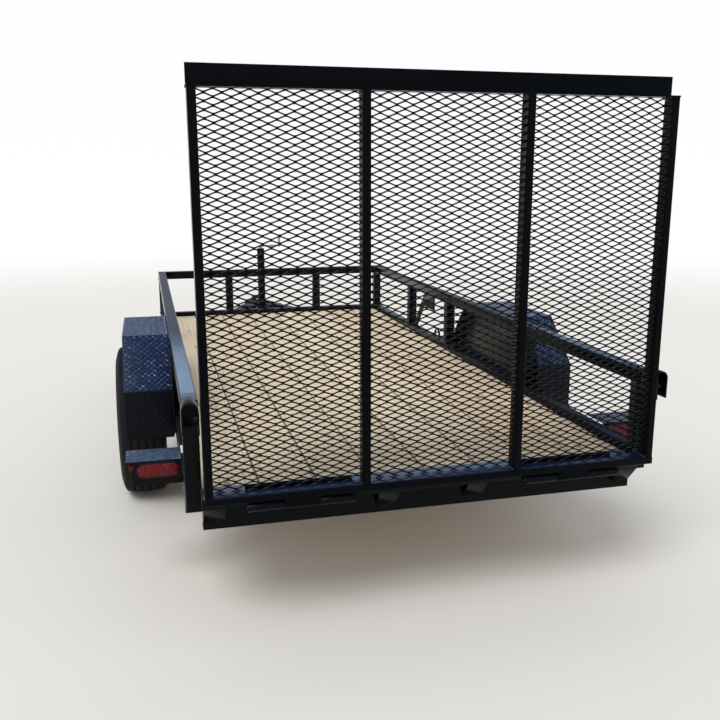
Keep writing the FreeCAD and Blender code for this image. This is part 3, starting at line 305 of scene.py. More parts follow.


# Up-facing colour of the rails: a painted sky reflection over a little dust. It is pale blue behind the axle and a
# painted darker grey-green reflection towards the front. The first stops, nearly black, are painted shade under the
# gate.
SKY_SHEEN_AND_DUST = (                                     # share of the way from the gate to the front rail, colour of the painted sky reflection and dust
    (0.0, "#0E1118"), (0.023, "#0E1118"), (0.031, "#6C7F9E"), (0.054, "#7082A1"), (0.06, "#8FA1BC"),
    (0.12, "#889DB6"), (0.2, "#7E92AC"), (0.225, "#7889A2"), (0.26, "#62728A"), (0.3, "#4B5A69"),
    (0.36, "#384652"), (0.5, "#2E3A41"), (0.65, "#1C272D"), (1.0, "#191F25"),
)


def enamel(tree, place, sheen_colours, dull, level=0.08):
    """Oil-based enamel sprayed over mill steel: blue-black, glossy, with a faint orange peel.

    What faces up carries a painted blue-grey sky reflection, partly a bloom of road dust: the argument after place
    gives its colours from the rear forward, and dull its roughness. The outer part of the right side keeps 0.55 of
    it: a painted reflection that is weaker there. level scales the gloss.
    """
    cloud = noise(tree, place, 7.0, 5.0, 0.65)
    axes = add(tree, "ShaderNodeSeparateXYZ", {"Vector": place}).outputs
    share = scaled(tree, axes["Y"], FRAME_BOX[0][1], SHEEN_RAMP_END)
    upper = facing(tree, "Z", 0.72, 0.99)
    # how much painted sky reflection and dust: weaker on the outer right side, and clouded
    sheen_amount = maths(tree, "MULTIPLY", scaled(tree, axes["X"], 0.3, 0.75, 1.0, 0.55),
                   scaled(tree, cloud, 0.25, 0.75, 0.7, 1.0))
    rough = scaled(tree, upper, 0.0, 1.0, scaled(tree, cloud, 0.3, 0.75, 0.14, 0.28), dull)
    # what faces up takes the painted sky reflection and dust over the black enamel
    return {"Base Color": blend(tree, maths(tree, "MULTIPLY", upper, sheen_amount), "#06080C", ramp(tree, share, *sheen_colours)),
            "Roughness": rough, "Normal": bumped(tree, noise(tree, place, 260.0, 2.0), 0.12, 0.0006),
            "IOR": 1.5, "Specular IOR Level": level}


def rail_enamel_with_sheen(tree, place):
    """Enamel of the rails and the ledge: a painted sky reflection with dust, pale behind the axle, darker at the
    front, and painted shade under the gate.
    """
    return enamel(tree, place, SKY_SHEEN_AND_DUST, 0.5)


def low_enamel(tree, place):
    """Enamel of the deck's own frame, between boards and posts: nearly black, with only a faint painted sky
    reflection where it faces up.
    """
    return enamel(tree, place, ((0.0, "#12161C"), (0.5, "#111419"), (1.0, "#0F1115")), 0.4)


def gate_enamel(tree, place):
    """Enamel of the ramp gate, which stands on end: clean, with a painted deep-blue sky reflection where it faces up.
    """
    return enamel(tree, place, ((0.0, "#15203A"), (1.0, "#111826")), 0.1, 0.04)


def weld_enamel(tree, place):
    """The same enamel over weld beads: thick, wet and bright on every ripple, with a faint painted blue sheen where
    it faces up.
    """
    return enamel(tree, place, ((0.0, "#1A2232"), (1.0, "#1A2232")), 0.14, 0.6)


def mesh_enamel(tree, place):
    """Enamel dipped over the mesh: black, with a painted grey glint on the strands that rise to the right.

    Those strands' faces are twisted towards the left, where the light stands, and the glint is painted into their
    colour.
    """
    # painted glint: lighter colour on strands whose faces turn to the left
    painted_glint = maths(tree, "MULTIPLY", facing(tree, "X", -0.12, -0.22, 0.9), noise(tree, place, 9.0, 4.0))
    return {"Base Color": blend(tree, painted_glint, "#07080A", "#3F444D"), "Roughness": 0.25, "IOR": 1.5,
            "Specular IOR Level": 0.1}


def plate_enamel(tree, place):
    """The same enamel on rolled tread plate: near black where it stands upright, and a painted sky reflection that
    makes it navy where it leans back and blue-grey where it lies flat, with dust there.
    """
    cloud = noise(tree, place, 11.0, 6.0, 0.6)
    # navy of the painted sky reflection on leaning faces, clouded
    plain = ramp(tree, cloud, (0.3, "#162239"), (0.62, "#1B2945"), (0.8, "#263655"))
    sheen_by_lean = blend(tree, facing(tree, "Z", 0.1, 0.6), "#090A0E", plain)
    # flat faces take a blue-grey painted sky reflection with dust
    return {"Base Color": blend(tree, facing(tree, "Z", 0.86, 0.99), sheen_by_lean, "#3C4A62"),
            "Roughness": scaled(tree, cloud, 0.3, 0.75, 0.2, 0.38),
            "Normal": bumped(tree, noise(tree, place, 420.0, 3.0), 0.15, 0.0004),
            "IOR": 1.5, "Specular IOR Level": 0.1}


def lug_glint_enamel(tree, place):
    """Enamel on the plate's lugs: pale blue-grey painted glints on their crowns, partly rubbed-thin wear, plain black
    again on what stands upright, and a painted blue-grey sheen where they lie flat.
    """
    # painted glints on the lugs' crowns, random from lug to lug, partly wear
    glints_and_wear = ramp(tree, noise(tree, place, 46.0, 3.0, 0.7), (0.4, "#1A2640"), (0.54, "#485A80"), (0.7, "#9DADCA"))
    sheen_by_lean = blend(tree, facing(tree, "Z", 0.3, 0.66), "#101218", glints_and_wear)
    return {"Base Color": blend(tree, facing(tree, "Z", 0.88, 0.99), sheen_by_lean, "#44526B"), "Roughness": 0.35,
            "IOR": 1.5, "Specular IOR Level": 0.12}


def treated_pine(tree, place):
    """Pressure-treated pine, planed: long growth bands with thin dark lines, a knot here and there, satin dry."""
    across = add(tree, "ShaderNodeSeparateXYZ", {"Vector": place}).outputs["X"]
    number = maths(tree, "DIVIDE", across, BOARD_PITCH)
    chance = add(tree, "ShaderNodeTexWhiteNoise", {"W": maths(tree, "FLOOR", number)}, noise_dimensions="1D").outputs
    own = vector_maths(tree, "ADD", place, vector_maths(tree, "MULTIPLY", chance["Color"], (3.0, 9.0, 3.0)))
    # growth bands about 18 mm wide across the face, drawn out 25 times along the board
    stretched = add(tree, "ShaderNodeMapping", {"Vector": own, "Scale": (1.0, 0.04, 1.0)}).outputs["Vector"]
    sway = add(tree, "ShaderNodeTexNoise", {"Vector": stretched, "Scale": 14.0, "Detail": 2.0}).outputs["Color"]
    grain_place = vector_maths(tree, "ADD", stretched, vector_maths(tree, "MULTIPLY", sway, (0.05, 0.0, 0.05)))
    bands = add(tree, "ShaderNodeTexWave", {"Vector": grain_place, "Scale": 17.0, "Distortion": 3.0, "Detail": 2.0,
                                            "Detail Scale": 1.4},
                bands_direction="X", wave_profile="SAW").outputs["Fac"]
    bare = ramp(tree, bands, (0.0, "#F0E6D6"), (0.7, "#E7DAC6"), (0.93, "#CDBA9D"), (1.0, "#E2D4BD"))
    tint = ramp(tree, chance["Value"], (0.0, "#F2EADB"), (0.5, "#FFFBF0"), (1.0, "#F3E3CC"))
    soiled = scaled(tree, noise(tree, own, 2.3, 4.0), 0.42, 0.75, 0.0, 0.4)
    greyed = blend(tree, soiled, blend(tree, 1.0, bare, tint, "MULTIPLY"), "#C6B79E")
    # one knot in about every 0.4 m of board, faded out 14 mm beside its middle
    knot_place = add(tree, "ShaderNodeMapping", {"Vector": own, "Scale": (1.0, 0.42, 0.0)}).outputs["Vector"]
    knots = add(tree, "ShaderNodeTexVoronoi", {"Vector": knot_place, "Scale": 5.5}, voronoi_dimensions="2D")
    knotted = blend(tree, scaled(tree, knots.outputs["Distance"], 0.03, 0.075, 0.8, 0.0), greyed, "#8F6C46")
    # darker along both edges of each board, over a band 5 mm wide, with the gap between the boards dark
    aside = maths(tree, "ABSOLUTE", maths(tree, "SUBTRACT", maths(tree, "FRACT", number), 0.5))
    edged = blend(tree, scaled(tree, aside, 0.474, 0.492, 0.0, 0.75), knotted, "#4F3F2A")
    height = maths(tree, "ADD", bands, noise(tree, stretched, 260.0, 3.0))
    return {"Base Color": edged, "Roughness": 0.68, "Normal": bumped(tree, height, 0.35, 0.0008), "IOR": 1.45}


def tyre_rubber(tree, place):
    """Carbon-black rubber, moulded: matt black-grey, clouded with pale dust, and a faint sheen."""
    cloud = noise(tree, place, 16.0, 6.0, 0.7)
    return {"Base Color": ramp(tree, cloud, (0.35, "#0A0A0B"), (0.6, "#101011"), (0.82, "#262523")),
            "Roughness": 0.72, "Normal": bumped(tree, noise(tree, place, 600.0, 2.0), 0.2, 0.0004),
            "Specular IOR Level": 0.22}


def silver_paint(tree, place):
    """Aluminium-flake wheel paint: pale grey, satin, faintly clouded, with a fine sparkle."""
    flake = add(tree, "ShaderNodeTexVoronoi", {"Vector": place, "Scale": 900.0}).outputs["Distance"]
    return {"Base Color": ramp(tree, noise(tree, place, 18.0, 5.0), (0.3, "#A9ABAD"), (0.7, "#BDBFC0")),
            "Metallic": 0.65, "Roughness": 0.36, "Normal": bumped(tree, flake, 0.08, 0.0003)}


def zinc_plating(tree, place):
    """Bright zinc electroplate on tube and forgings: blue-white metal with a cloudy, lightly stained gloss."""
    cloud = noise(tree, place, 22.0, 6.0, 0.65)
    return {"Base Color": ramp(tree, cloud, (0.3, "#8D9196"), (0.55, "#B4B8BC"), (0.75, "#A39F94")),
            "Metallic": 1.0, "Roughness": scaled(tree, cloud, 0.3, 0.7, 0.22, 0.45)}


def mill_steel(tree, place):
    """Hot-rolled steel left bare: grey-brown scale, dull, with rust starting in small patches."""
    cloud = noise(tree, place, 45.0, 7.0, 0.7)
    return {"Base Color": ramp(tree, cloud, (0.35, "#4A4947"), (0.58, "#5F5B55"), (0.75, "#6E4A32")),
            "Metallic": 0.7, "Roughness": 0.5, "Normal": bumped(tree, cloud, 0.25, 0.0006)}


def red_acrylic(tree, place):
    """Moulded red acrylic lens: deep red over prism ribs, with pale pink painted sparkle where the ribs cross, glossy
    outside; ribs drawn 6 mm apart to show.
    """
    ribs, rows = (add(tree, "ShaderNodeTexWave", {"Vector": place, "Scale": 52.0, "Distortion": 0.6},
                      bands_direction=axis, wave_profile="TRI").outputs["Fac"] for axis in "XZ")
    prisms = maths(tree, "MULTIPLY", ribs, rows)
    # painted sparkle: the prism crossings are coloured up to pale pink
    sparkle = maths(tree, "MULTIPLY", prisms, noise(tree, place, 90.0, 3.0, 0.7))
    return {"Base Color": ramp(tree, sparkle, (0.0, "#320408"), (0.12, "#58080F"), (0.28, "#8C151E"),
                               (0.45, "#CC4A52")),
            "Roughness": 0.14, "Normal": bumped(tree, prisms, 0.3, 0.001), "IOR": 1.49, "Specular IOR Level": 0.2}


def label_film(tree, place):
    """White vinyl label film, left blank: satin, with a slight crinkle."""
    crinkle = noise(tree, place, 60.0, 2.0)
    return {"Base Color": ramp(tree, crinkle, (0.3, "#DDE0DA"), (0.7, "#EEF0EA")), "Roughness": 0.4,
            "Normal": bumped(tree, crinkle, 0.2, 0.0005)}


FINISHES = {                                 # key: name of the material, function that gives its shader's inputs
    "enamel": ("gloss enamel with painted sky sheen and dust", rail_enamel_with_sheen), "low": ("near-black enamel with faint painted sheen", low_enamel),
    "gate": ("gloss enamel with painted blue sheen", gate_enamel), "mesh": ("dipped enamel on mesh with painted glint", mesh_enamel),
    "weld": ("enamel over welds", weld_enamel), "plate": ("gloss enamel on tread plate", plate_enamel),
    "lugs": ("enamel on lugs with painted glints and wear", lug_glint_enamel), "pine": ("treated pine boards", treated_pine),
    "rubber": ("moulded tyre rubber", tyre_rubber), "silver": ("silver wheel paint", silver_paint),
    "zinc": ("bright zinc plating", zinc_plating), "steel": ("bare mill steel", mill_steel),
    "lens": ("red acrylic lens", red_acrylic), "label": ("blank vinyl label", label_film),
}
MADE = {}


def finish(key):
    """The material of one finish, made once, in object coordinates."""
    if key not in MADE:
        name, surface = FINISHES[key]
        MADE[key] = bpy.data.materials.new(name)
        tree = emptied(MADE[key])
        shader = add(tree, "ShaderNodeBsdfPrincipled")
        add(tree, "ShaderNodeOutputMaterial", {"Surface": shader.outputs["BSDF"]})
        feed(tree, shader, surface(tree, add(tree, "ShaderNodeTexCoord").outputs["Object"]))
    return MADE[key]


def repaint(key, *names):
    """Gives CAD nodes a finish in their own material slots."""
    for name in names:
        for slot in NODES[name].material_slots:
            slot.material = finish(key)


# The frame's own steel with its edges rounded

ROUNDED = (                                  # nodes, edge radius in millimetres
    (("side_rail_left", "side_rail_right", "top_rail_left", "top_rail_right", "front_rail", "front_header",
      "rear_post_left", "rear_post_right", "side_posts_left", "side_posts_right", "front_posts"), 1.5),
    (("rear_beam", "rear_ledge", "ledge_gussets", "gate_stops", "gate_frame", "gate_latches",
      "tongue_bar_left", "tongue_bar_right", "cross_angles", "spare_bracket", "jack_plate", "axle_clamps"), 1.2),
    (("lamp_box_left", "lamp_box_right", "fender_left", "fender_right", "fender_skirt_left",
      "fender_skirt_right"), 1.0),
)


def rounded_copy(node, radius):
    """The node's own form, its triangles joined into flat faces, with a Bevel that rounds each sharp edge."""
    form = bmesh.new()
    form.from_mesh(NODES[node].data)
    bmesh.ops.remove_doubles(form, verts=form.verts, dist=0.01 * MM)
    bmesh.ops.dissolve_limit(form, angle_limit=math.radians(0.5), verts=form.verts, edges=form.edges)
    mesh = bpy.data.meshes.new(f"rounded_{node}")
    form.to_mesh(mesh)
    form.free()
    mesh.shade_smooth()
    thing = in_scene(f"rounded_{node}", mesh)
    edge = thing.modifiers.new("rounded edges", "BEVEL")
    edge.width, edge.segments, edge.limit_method = radius * MM, 2, "ANGLE"
    edge.angle_limit, edge.harden_normals = math.radians(35), True
    mesh.materials.append(NODES[node].material_slots[0].material)
    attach(thing, body_of(NODES[node])[0])
    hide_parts(node)


# Sizes and colours that a user would change

class TrailerLook(bpy.types.PropertyGroup):
    """Sizes of the fine detail that stands on the frame."""
    diamond_long: FloatProperty(
        name="Diamond width", description="Long way of one mesh diamond", default=0.0508, unit="LENGTH")
    diamond_short: FloatProperty(
        name="Diamond height", description="Short way of one mesh diamond", default=0.0234, unit="LENGTH")
    strand_width: FloatProperty(
        name="Strand width", description="Width of a mesh strand", default=0.0046, unit="LENGTH")
    strand_thick: FloatProperty(
        name="Strand thickness", description="Thickness of the mesh sheet", default=0.0021, unit="LENGTH")
    lug_pitch: FloatProperty(
        name="Lug pitch", description="Spacing of the tread plate's lugs", default=0.0254, unit="LENGTH")
    groove_depth: FloatProperty(
        name="Groove depth", description="Depth of the tyre's tread grooves", default=0.0075, unit="LENGTH")
    board_edge: FloatProperty(
        name="Board edge", description="Radius of the boards' long edges", default=0.004, unit="LENGTH")
    bead_width: FloatProperty(
        name="Weld width", description="Width of a weld bead", default=0.008, unit="LENGTH")
    floor_colour: FloatVectorProperty(
        name="Floor", description="Colour of the studio floor", subtype="COLOR", default=linear("#E4E2DE")[:3])


def look():
    return bpy.context.scene.trailer_look


# Gate mesh

def expanded_mesh():
    """Expanded metal: row k is one ribbon that zigzags between the rows above and below it.

    At each bond two ribbons lie edge to edge. A ribbon's centre is half its width below the bond
    above it or above the bond below it, along the sheet's tilted face. From bond to bond it rises
    slowly, then fast, then slowly, so that the diamonds have rounded corners.
    """
    low, high = (Vector(corner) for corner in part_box("gate_mesh"))
    long, short = look().diamond_long, look().diamond_short
    width, thick = look().strand_width, look().strand_thick
    tilt, overlap = math.radians(35), 0.0045
    rows = round((high.z - low.z) / (short / 2))
    base = high.z + overlap - rows * short / 2         # the top row reaches behind the top bar's edge
    halves = int((high.x - low.x) / (long / 2)) + 2
    k = np.arange(rows)[:, None, None]
    half = np.arange(-(halves // 2), halves // 2 + 1)[None, :, None]
    run, rise = np.array([0.0, 0.17, 0.83]), np.array([0.0, 0.075, 0.925])
    here, there = (half + k) % 2, (half + k + 1) % 2
    level = here + (there - here) * rise
    x = (half + run) * long / 2 + 0 * k
    y = (low.y + high.y) / 2 + (1 - 2 * level) * width / 2 * math.sin(tilt)
    z = base + (k + level) * short / 2 + (1 - 2 * level) * width / 2 * math.cos(tilt)
    path = np.stack([x, y, z], axis=-1).reshape(rows, -1, 3)
    path = path[:, (path[0, :, 0] > low.x) & (path[0, :, 0] < high.x)]
    first, last = path[:, :1].copy(), path[:, -1:].copy()
    first[..., 0], last[..., 0] = low.x, high.x
    path = np.concatenate([first, path, last], axis=1)
    along = np.array([0.0, math.sin(tilt), math.cos(tilt)]) * width / 2
    through = np.array([0.0, math.cos(tilt), -math.sin(tilt)]) * thick / 2
    corners = np.array([along + through, along - through, -along - through, -along + through])
    return swept(path[:, :, None] + corners)


# Deck boards

def board_section(width, thick, radius, steps=3):
    """A rectangle with rounded corners, as points round it: quarter turns about four centres."""
    turns = np.radians(np.linspace(0, 90, steps + 1))
    parts = []
    for quarter, (sx, sz) in enumerate(((1, 1), (-1, 1), (-1, -1), (1, -1))):
        angle = turns + quarter * math.pi / 2
        centre = np.array([sx * (width / 2 - radius), sz * (thick / 2 - radius)])
        parts.append(centre + radius * np.stack([np.cos(angle), np.sin(angle)], axis=1))
    return np.concatenate(parts)


def boards_skin():
    """Each board is its rounded section carried along Y, a little cupped and bowed, drawn in at its ends."""
    low, high = np.array(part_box("deck_boards"))
    rng = np.random.default_rng(RNG_SEED)
    section = board_section(BOARD_PITCH - BOARD_GAP, high[2] - low[2], look().board_edge)
    ends, end_share, first_station = np.array([0.0, 0.0015, 0.003]), 0.985, 0.2
    stations = np.concatenate([low[1] + ends, np.linspace(low[1] + first_station, high[1] - first_station, 15),
                               high[1] - ends[::-1]])
    shrink = np.ones(len(stations))
    shrink[[0, -1]] = end_share
    middles = -DECK_HALF + BOARD_PITCH * (np.arange(BOARDS) + 0.5)
    drop = rng.uniform(0.0, 0.0012, BOARDS)
    bow = rng.uniform(-0.0008, 0.0008, (BOARDS, 1)) * np.sin(np.linspace(0, 5, len(stations)))
    x = middles[:, None, None] + bow[..., None] + section[:, 0] * shrink[:, None]
    z = (low[2] + high[2]) / 2 + section[:, 1] * shrink[:, None] - drop[:, None, None]
    cup = rng.uniform(-0.0009, 0.0004, (BOARDS, 1, 1)) * (1 - (2 * section[:, 0] / BOARD_PITCH) ** 2)
    z = z + cup * (section[:, 1] > 0) - 0.0004  # the tops stay 0.4 mm under the solids' own
    y = np.broadcast_to(stations[:, None], x.shape)
    return swept(np.stack([x, y, np.minimum(z, high[2])], axis=-1))


# Tread plate

def plate_lug():
    """One lug: a long lens-shaped island with sloping sides, its outline two arcs that meet in blunt points."""
    length, width, height, around = 0.0225, 0.0056, 0.0014, 12
    u = angles(around)
    outline = np.stack([length / 2 * np.cos(u), width / 2 * np.sin(u) * (0.75 + 0.25 * np.abs(np.sin(u)))], axis=1)
    levels = [np.concatenate([outline * np.array([share, 0.6 + 0.4 * share]), np.full((around, 1), rise * height)],
                             axis=1) for share, rise in ((1.0, 0.0), (0.86, 0.7), (0.62, 1.0))]
    return swept(np.array(levels)[None])


def lug_places(corner, across, length, way, out):
    """Places of lugs on a flat strip: a square grid leaning one way, and the middles of its cells leaning the other.

    So each lug points at the flank of its neighbours.
    """
    pitch, margin = look().lug_pitch, 0.009
    side, way, out = np.array([1.0, 0.0, 0.0]), np.array(way), np.array(out)
    columns, rows = int((across - 2 * margin) / pitch * 2) + 1, int((length - 2 * margin) / pitch * 2) + 1
    c, r = (grid.ravel() for grid in np.meshgrid(np.arange(columns), np.arange(rows)))
    kept = (c + r) % 2 == 0
    c, r = c[kept], r[kept]
    first = (across - (columns - 1) * pitch / 2) / 2
    second = (length - (rows - 1) * pitch / 2) / 2
    origins = (np.array(corner) + (first + c * pitch / 2)[:, None] * side + (second + r * pitch / 2)[:, None] * way)
    turn = np.where(c % 2 == 0, math.pi / 4, -math.pi / 4)
    long_way = np.cos(turn)[:, None] * side + np.sin(turn)[:, None] * way
    outward = np.broadcast_to(out, long_way.shape)
    return placed(origins, long_way, np.cross(outward, long_way), outward)


def plate_strips(side, upright):
    """A fender's two ends, or else its top and slopes and the lamp box's top: corner, width, length, way, outward."""
    low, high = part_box(f"fender_{side}")
    middle = (low[1] + high[1]) / 2
    flat, end = FENDER_FLAT, (high[1] - low[1]) / 2
    run, fall = end - flat, high[2] - FENDER_BEND
    width, slope = high[0] - low[0], math.hypot(run, fall)
    level, rise = run / slope, fall / slope
    if upright:
        for way in (-1, 1):
            yield (low[0], middle + way * end, low[2]), width, FENDER_BEND - low[2], (0, 0, 1), (0, way, 0)
        return
    yield (low[0], middle - flat, high[2]), width, 2 * flat, (0, 1, 0), (0, 0, 1)
    yield (low[0], middle - end, FENDER_BEND), width, slope, (0, level, rise), (0, -rise, level)
    yield (low[0], middle + flat, high[2]), width, slope, (0, level, -rise), (0, rise, level)
    low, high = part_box(f"lamp_box_{side}")
    yield (low[0], low[1], high[2]), high[0] - low[0], high[1] - low[1], (0, 1, 0), (0, 0, 1)


def lugs_skin(side, upright):
    """One lug copied to every place on a side's strips."""
    return copies(plate_lug(), np.concatenate([lug_places(*strip) for strip in plate_strips(side, upright)]))


# Tyres

def tyre_skin(side):
    """Closed outline from bead over the tread to bead, turned about the axle.

    Across the tread each groove is four columns that sway together round the tyre in a zigzag;
    the shoulder is notched once in each sway. The sidewall is given in millimetres from the tyre's
    middle plane and from the axle, for a tyre of half width 102.5.
    """
    low, high = np.array(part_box(f"tyre_{side}"))
    middle, radius, half = (low + high) / 2, (high[2] - low[2]) / 2, (high[0] - low[0]) / 2
    wall = np.array([(63.8, 190.8), (63.8, 203.0), (70.5, 204.5), (80.0, 211.0), (89.0, 222.0), (89.8, 222.4),
                     (95.5, 232.0), (100.0, 245.0), (102.2, 258.0), (102.4, 268.0), (101.2, 280.0), (101.6, 281.0),
                     (101.4, 283.5), (100.0, 284.5), (98.0, 297.0), (95.0, 308.0), (91.5, 318.0), (87.5, 326.5),
                     (83.0, 332.0), (78.0, 335.2)]) * MM
    wall[:, 0] *= half / 0.1025
    steps, cycle = 288, 4
    sway, crown, tread_half, notch_depth, shoulder = 0.0032, 0.0048, 0.078, 0.0045, 0.325
    middles = np.array([-0.049, -0.0165, 0.0165, 0.049])           # of the grooves
    columns = (middles[:, None] + np.array([-0.0042, -0.0026, 0.0026, 0.0042])).ravel()
    drop = np.tile([0.0, 1.0, 1.0, 0.0], len(middles)) * look().groove_depth
    theta = angles(steps)
    zigzag = np.abs((np.arange(steps) % cycle) - cycle / 2) / (cycle / 4) - 1
    tread_x = columns + zigzag[:, None] * sway
    tread_r = radius - crown * (tread_x / tread_half) ** 2 - drop
    wall_x = np.broadcast_to(-wall[:, 0], (steps, len(wall)))
    wall_r = wall[:, 1] - notch_depth * (np.arange(steps) % cycle == 0)[:, None] * (wall[:, 1] > shoulder)
    x = np.concatenate([wall_x, tread_x, -wall_x[:, ::-1]], axis=1)
    r = np.minimum(np.concatenate([wall_r, tread_r, wall_r[:, ::-1]], axis=1), radius)
    turned = np.stack([x, r * np.sin(theta)[:, None], r * np.cos(theta)[:, None]], axis=-1) + middle
    return swept(turned[None], ring=True)


def wheel_nuts_skin(side, sign):
    """Five hexagon nuts on the bolt circle: six-sided rings that taper to a domed end."""
    low, high = np.array(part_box(f"rim_{side}"))
    axis_y, axis_z = (low[1:] + high[1:]) / 2
    seat = 0.027                             # the disc's outer face, from the rim's middle plane
    face = (low[0] + high[0]) / 2 + sign * seat
    # millimetres outward from the disc, radius at the corners
    rings = np.array([(0.0, 9.0), (2.5, 12.0), (3.0, 11.0), (15.0, 11.0), (17.5, 9.5), (22.0, 7.5), (24.0, 4.0)]) * MM
    spokes, turns = angles(6), angles(5)
    sections = np.stack([rings[:, :1] + 0 * spokes, rings[:, 1:] * np.cos(spokes), rings[:, 1:] * np.sin(spokes)],
                        axis=-1)
    nut = swept(sections[None])
    origins = np.stack([face + 0 * turns, axis_y + NUT_CIRCLE * np.sin(turns), axis_z + NUT_CIRCLE * np.cos(turns)],
                       axis=1)
    ones = np.ones((len(turns), 1))
    out, across = ones * np.array([sign, 0.0, 0.0]), ones * np.array([0.0, 1.0, 0.0])
    return copies(nut, placed(origins, out, across, np.cross(out, across)))


# Lamps

def stadium(length, height, count):
    """Points round an oval with straight sides: distance along its outline from two half circles."""
    radius = height / 2
    straight = length - height
    turn = np.linspace(-math.pi / 2, math.pi / 2, count // 2)
    right = np.stack([straight / 2 + radius * np.cos(turn), radius * np.sin(turn)], axis=1)
    return np.concatenate([right, -right])


def oval_rings(low, high, count, rings):
    """Rings round the middle of a box, each given by how much shorter and lower it is and by its Y."""
    sections, middle = [], (low + high) / 2
    for less, y in rings:
        outline = stadium(high[0] - low[0] - less, high[2] - low[2] - less, count)
        sections.append(np.stack([middle[0] + outline[:, 0], np.full(count, y), middle[2] + outline[:, 1]], axis=1))
    return np.array(sections)


def lens_skin(side):
    """A dome over the oval: rings of its outline drawn in step by step while the depth rises."""
    low, high = np.array(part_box(f"tail_lamp_{side}"))
    # millimetres drawn in, share of the lamp's depth
    steps = (12.5, 0.0), (12.5, 0.80), (10.5, 0.9), (16.0, 0.955), (26.0, 0.985), (40.0, 1.0)
    return swept(oval_rings(low, high, 48, [(less * MM, high[1] - rise * (high[1] - low[1]))
                                            for less, rise in steps])[None])


def grommet_skin(side):
    """Rubber ring round the lens: a small rounded section carried round the oval."""
    low, high = np.array(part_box(f"tail_lamp_{side}"))
    # inward from the lamp's outline, forward of its rear face
    section = ((0.0, 0.012), (0.0, 0.0035), (0.0012, 0.0018), (0.0035, 0.0012), (0.0058, 0.0022),
               (0.0066, 0.0045), (0.0066, 0.012))
    rings = oval_rings(low, high, 64, [(2 * inset, low[1] + back) for inset, back in section])
    return swept(rings.transpose(1, 0, 2)[None], ring=True)


# Tie-down rings

def tie_down_skin():
    """Round rod carried up, over a half circle and down again, one on each side rail."""
    low, high = np.array(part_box("tie_downs"))
    radius = TIE_ROD / 2
    reach = (high[1] - low[1] - TIE_ROD) / 2
    middle, base, crown = (low[1] + high[1]) / 2, low[2], high[2] - radius - reach
    turn = np.concatenate([[math.pi], np.linspace(math.pi, 0, 17), [0.0]])
    y, z = middle + reach * np.cos(turn), crown + reach * np.sin(turn)
    z[[0, -1]] = base
    out = np.stack([np.cos(turn), np.sin(turn)], axis=1)
    around = angles(12)
    runs = []
    for sign in (-1, 1):
        x = sign * (max(abs(low[0]), abs(high[0])) - radius) + radius * np.cos(around) + 0 * y[:, None]
        runs.append(np.stack([x, y[:, None] + radius * np.sin(around) * out[:, :1],
                              z[:, None] + radius * np.sin(around) * out[:, 1:]], axis=-1))
    return swept(np.array(runs))


# Weld beads

def bead_skin(lines):
    """A weld bead on each line: a half-round section carried along from start to end, its radius rippled.

    The ripple is a sine of the distance run, one wave for each 3.5 mm, and the ends taper to nothing.
    """
    starts, ends, outs = (np.array(values, dtype=float) for values in zip(*lines))
    stations, around, wave, rippled, height = 32, 8, 0.0035, 0.13, 0.75
    taper_run, thinnest = 0.004, 0.15
    share = np.linspace(0, 1, stations)
    run = ends - starts
    length = np.linalg.norm(run, axis=1)
    way = run / length[:, None]
    out = outs / np.linalg.norm(outs, axis=1)[:, None]
    across = np.cross(way, out)
    path = starts[:, None] + share[:, None] * run[:, None]
    taper = np.clip(np.minimum(share, 1 - share) * length[:, None] / taper_run, thinnest, 1.0) ** 0.5
    ripple = 1 + rippled * np.sin(2 * math.pi * share * length[:, None] / wave)
    radius = look().bead_width / 2 * taper * ripple
    turn = angles(around)[:, None]
    ring = np.cos(turn) * across[:, None] + height * np.sin(turn) * out[:, None]
    return swept(path[:, :, None] + radius[..., None, None] * ring[:, None])


def foot_beads(box, top=False):
    """Start, end and outward direction of the beads round the foot or head of an upright tube."""
    low, high = np.array(box[0]), np.array(box[1])
    corner = 0.005                           # a bead stops this far short of the tube's corners
    for axis in (0, 1):
        for end, value in ((-1, low[axis]), (1, high[axis])):
            start, stop, out = low.copy(), high.copy(), np.zeros(3)
            start[axis] = stop[axis] = value
            start[2] = stop[2] = high[2] if top else low[2]
            start[1 - axis] += corner
            stop[1 - axis] -= corner
            out[axis], out[2] = end, -1.0 if top else 1.0
            yield start, stop, out


def post_boxes():
    """Boxes of the posts between the rails, from the tube size and the posts' places."""
    bottom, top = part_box("side_rail_left")[1][2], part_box("top_rail_left")[0][2]
    for side, _ in SIDES:
        low_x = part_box(f"side_rail_{side}")[0][0]
        for place in POST_PLACES:
            yield (low_x, ahead(place) - TUBE / 2, bottom), (low_x + TUBE, ahead(place) + TUBE / 2, top)
    low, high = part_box("front_rail")
    for x in FRONT_POSTS:
        yield (x - TUBE / 2, low[1], bottom), (x + TUBE / 2, high[1], top)


def fender_stitches(side, sign):
    """Short beads along the seam of a fender and its skirt: eight on each slope and eight on the flat top."""
    low, high = np.array(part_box(f"fender_{side}"))
    x, middle = (low[0] if sign > 0 else high[0]), (low[1] + high[1]) / 2
    half_end, count, slope_half, flat_half, margin = (high[1] - low[1]) / 2, 8, 0.009, 0.011, 0.03
    run, fall = half_end - FENDER_FLAT, high[2] - FENDER_BEND
    for share in np.linspace(0.06, 0.94, count):
        for end in (-1, 1):
            start = np.array([x, middle + end * (half_end - share * run), FENDER_BEND + share * fall])
            step = np.array([0.0, -end * run, fall]) / math.hypot(run, fall) * slope_half
            yield start - step, start + step, (-sign * 0.6, end * 0.3, 0.6)
    for y in np.linspace(middle - FENDER_FLAT + margin, middle + FENDER_FLAT - margin, count):
        start, step = np.array([x, y, high[2]]), np.array([0.0, flat_half, 0.0])
        yield start - step, start + step, (-sign * 0.7, 0.0, 0.7)


